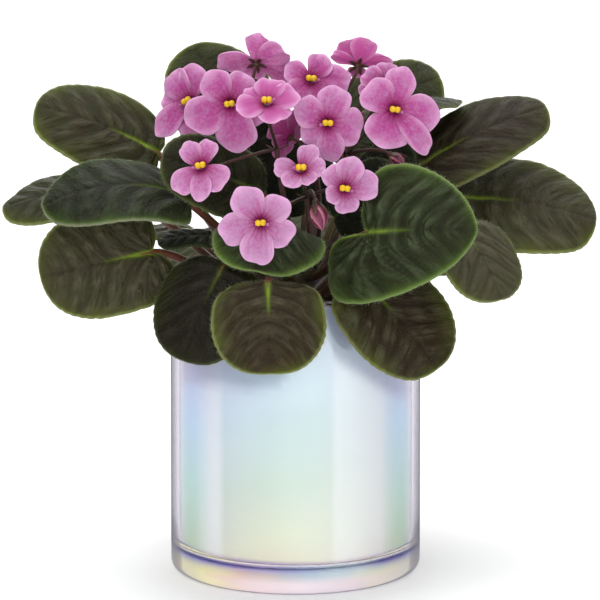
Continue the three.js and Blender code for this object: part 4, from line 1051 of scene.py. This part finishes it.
# The film in the foot is a plug inside the glass. It stands in from the side, and off the base and floor.
footLow = [pot["radius"] - pot["plugFoot"][0], pot["plugFoot"][1]]
footHigh = [pot["radius"] - pot["plugTop"][0], pot["floor"] - pot["plugTop"][1]]
footProfile = [[0, footLow[1]], footLow] + spaced(footLow, footHigh, 8) + [footHigh, [0, footHigh[1]]]
footShare = np.clip((np.array(footProfile)[:, 1] - footLow[1]) / (footHigh[1] - footLow[1]), 0, 1)[:, None]
footStrong = np.interp(np.cos(ringAngles(pot["segments"])), [-1, -0.6, 0, 0.35, 0.55, 0.75, 1],
                       [1, 0.9, 0.6, 0.2, 0.3, 0.9, 1])
potParts = [turnedPart(glassProfile, pot["segments"], 0), linerParts(),
            turnedPart(footProfile, pot["segments"], 2, {"high": footShare, "strong": footStrong})]
addPiece("glass_pot_and_lustre", potParts, [sodaGlass(), pearlFilmAndPaintedLight(), footFilmAndPaintedLight()], "pearl_glass",
         "glass_pot")
print("glass pot made")

# Grower's pot: thin injection-moulded polypropylene, dark green. It has a dull shine and faint flow marks.
growerPlastic = mottledSkin("mouldedPolypropylene", ["#203329", "#2c4336"], {"Roughness": 0.45, "IOR": 1.49},
                            14, 3, relief=(1.5, 2, 0.05, 0.4), stretch=(1, 1, 0.2))
grow = {"radius": 50, "foot": 38, "height": 100, "wall": 1.2, "step": 1.5, "rim": 8, "drains": 4, "drain": 4,
        "drainReach": 0.55, "gap": 0.3, "soilBelow": 6, "heap": 3}
growFoot = pot["floor"] + grow["gap"]
growRim = growFoot + grow["height"]
soilTop = growRim - grow["soilBelow"]


def growInside(height):
    share = (height - growFoot) / grow["height"]
    return grow["foot"] + (grow["radius"] - grow["step"] - grow["foot"]) * share - grow["wall"]


shoulder = grow["radius"] - grow["step"]
shelf = growRim - grow["rim"]
growWall, growWallFoot = shoulder - grow["wall"], grow["foot"] - grow["wall"]
growFloor = growFoot + grow["wall"]
growProfile = [[0, growFoot], [grow["foot"] - 1, growFoot]]
growProfile += arc([grow["foot"] - 1, growFoot + 1], 1, -90, 0, 4)
growProfile += spaced([grow["foot"], growFoot + 1], [shoulder, shelf], 10)
growProfile += [[shoulder, shelf - 0.2], [grow["radius"] - 0.3, shelf]]
growProfile += [[grow["radius"], shelf + 0.3], [grow["radius"], growRim - 0.5]]
growProfile += arc([grow["radius"] - 0.6, growRim - 0.6], 0.6, 0, 90, 4)
growProfile += [[growWall + 0.4, growRim], [growWall, growRim - 0.5]]
growProfile += spaced([growWall, growRim - 0.5], [growWallFoot, growFloor], 12)
growProfile += [[growWallFoot, growFloor], [0, growFloor]]
growPot = addPiece("moulded_grow_pot", [turnedPart(growProfile, 96, 0)], [growerPlastic], "grower_plastic",
                   "grow_pot")
for n in range(grow["drains"]):
    angle = (n + 0.5) / grow["drains"] * 2 * math.pi
    reach = grow["foot"] * grow["drainReach"]
    where = [reach * math.cos(angle) * mm, reach * math.sin(angle) * mm, growFoot * mm]
    bpy.ops.mesh.primitive_cylinder_add(vertices=32, radius=grow["drain"] * mm, depth=6 * mm, location=where)
    drill = bpy.context.object
    cut = growPot.modifiers.new("drain", "BOOLEAN")
    cut.operation, cut.solver, cut.object = "DIFFERENCE", "EXACT", drill
    bpy.context.view_layer.objects.active = growPot
    bpy.ops.object.modifier_apply(modifier="drain")
    bpy.data.objects.remove(drill)
print("grower's pot made")

# Potting mix: damp peat with perlite. It looks crumbly and dark, with white grains.
peatSkin = mottledSkin("dampPeat", ["#1c130c", "#4a3524"], {"Roughness": 0.9, "IOR": 1.4}, 2.5, 5,
                       relief=(1.2, 5, 0.8, 0.9))
perliteSkin = mottledSkin("expandedPerlite", ["#bdb7a8", "#f0ece2"], {"Roughness": 0.8, "IOR": 1.5}, 1.0, 3)
soil = {"rings": 30, "segments": 120, "crumb": 1.1, "crumbs": 420, "grains": 90, "smallest": 0.6,
        "largest": 1.9, "fromCrown": 2, "fromWall": 2.5}


def soilHeight(radius):  # the heap falls from the crown to the wall
    share = np.clip(radius / growInside(soilTop), 0, 1)
    return soilTop + grow["heap"] * np.interp(share, [0, 0.32, 0.55, 0.8, 1], [0.7, 1, 0.8, 0.5, 0])


def crumbPart(at, size, skin, dice):  # one broken grain
    up = np.linspace(0, np.pi, 5)[:, None]
    radius = size * (0.75 + 0.5 * dice.random((5, 6)))
    radius[0, :], radius[-1, :] = size, size
    grid = ringGrid(radius * np.sin(up), -0.8 * radius * np.cos(up), ringAngles(6)) + at
    return roundPart("crumb", grid, skin, {})


def soilParts():
    dice = np.random.default_rng(17)
    low, brim = growFloor + grow["gap"], growInside(soilTop) - grow["gap"]
    hole = crown["radius"] + crown["gap"]
    bottom = soilTop - crown["depth"] - crown["gap"]
    radii = np.linspace(brim, hole, soil["rings"])
    profile = [[0, low], [growInside(low) - grow["gap"], low]] + [[r, float(soilHeight(r))] for r in radii]
    profile += [[hole, bottom], [0, bottom]]
    body = turnedPart(profile, soil["segments"], 0)
    points = body["points"]
    onTop = (points[:, 2] > soilTop + 0.1) & (np.hypot(points[:, 0], points[:, 1]) > hole + 0.5)
    rough = dice.normal(0, soil["crumb"] * 0.35, len(points))
    points[onTop, 2] += rough[onTop]
    parts = [body]
    for n in range(soil["crumbs"] + soil["grains"]):
        radius = math.sqrt(dice.uniform((hole + soil["fromCrown"]) ** 2, (brim - soil["fromWall"]) ** 2))
        angle = dice.random() * 2 * math.pi
        size = dice.uniform(soil["smallest"], soil["largest"])
        at = [radius * math.cos(angle), radius * math.sin(angle), float(soilHeight(radius)) + size * 0.3]
        parts.append(crumbPart(at, size, 0 if n < soil["crumbs"] else 1, dice))
    return parts


addPiece("peat_and_perlite", soilParts(), [peatSkin, perliteSkin], "potting_mix", "soil")
print("potting mix made")


# Floor, lamps and camera
floorSkin = finishMaterial(newMaterial("mattWhiteFloor")[0], {"Base Color": "#fbfbfb", "Roughness": 0.9})
bpy.ops.mesh.primitive_plane_add(size=30, location=(0, 0, 0))
floor = bpy.context.object
floor.name = "floor"
floor.data.materials.append(floorSkin)
floor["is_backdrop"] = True

world = bpy.data.worlds.new("paleStudio")
world.use_nodes = True
world.node_tree.nodes["Background"].inputs["Color"].default_value = linear("#ffffff")
world.node_tree.nodes["Background"].inputs["Strength"].default_value = 0.5
bpy.context.scene.world = world
bpy.context.scene.view_settings.view_transform = "Standard"


def addLamp(name, place, aim, size, power):
    lamp = bpy.data.lights.new(name, "AREA")
    lamp.shape, lamp.size, lamp.size_y, lamp.energy = "RECTANGLE", size[0], size[1], power
    holder = bpy.data.objects.new(name, lamp)
    holder.location = place
    way = unit(np.array(aim) - np.array(place))
    holder.rotation_euler = (math.acos(-way[2]), 0, math.atan2(way[1], way[0]) - math.pi / 2)
    bpy.context.scene.collection.objects.link(holder)


addLamp("frontSoftbox", (0.1, -1.95, 0.6), (0, 0, 0.1), (1.8, 1.1), 19)
addLamp("keySoftbox", (-0.8, -1.0, 1.5), (0, 0, 0.14), (0.8, 0.8), 6)
addLamp("topSoftbox", (0, 0.3, 1.7), (0, 0, 0.1), (2.0, 2.0), 30)
addLamp("backSoftbox", (0.3, 1.8, 0.9), (0, 0, 0.1), (1.6, 1.0), 12)

view = {"distance": 4000, "elevation": 13, "aimHeight": 120.42, "side": 1.98, "lens": 545.45}
elevation = math.radians(view["elevation"])
cameraData = bpy.data.cameras.new("longLens")
cameraData.lens, cameraData.sensor_width, cameraData.clip_end = view["lens"], 36, 20
camera = bpy.data.objects.new("longLens", cameraData)
camera.location = (view["side"] * mm, -view["distance"] * mm * math.cos(elevation),
                   (view["aimHeight"] + view["distance"] * math.sin(elevation)) * mm)
camera.rotation_euler = (math.pi / 2 - elevation, 0, 0)
bpy.context.scene.collection.objects.link(camera)
bpy.context.scene.camera = camera
print("floor, lamps and camera made")

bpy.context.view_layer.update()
triangles = sum(len(p.vertices) - 2 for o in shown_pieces() for p in o.data.polygons)
print("triangles in all:", triangles)
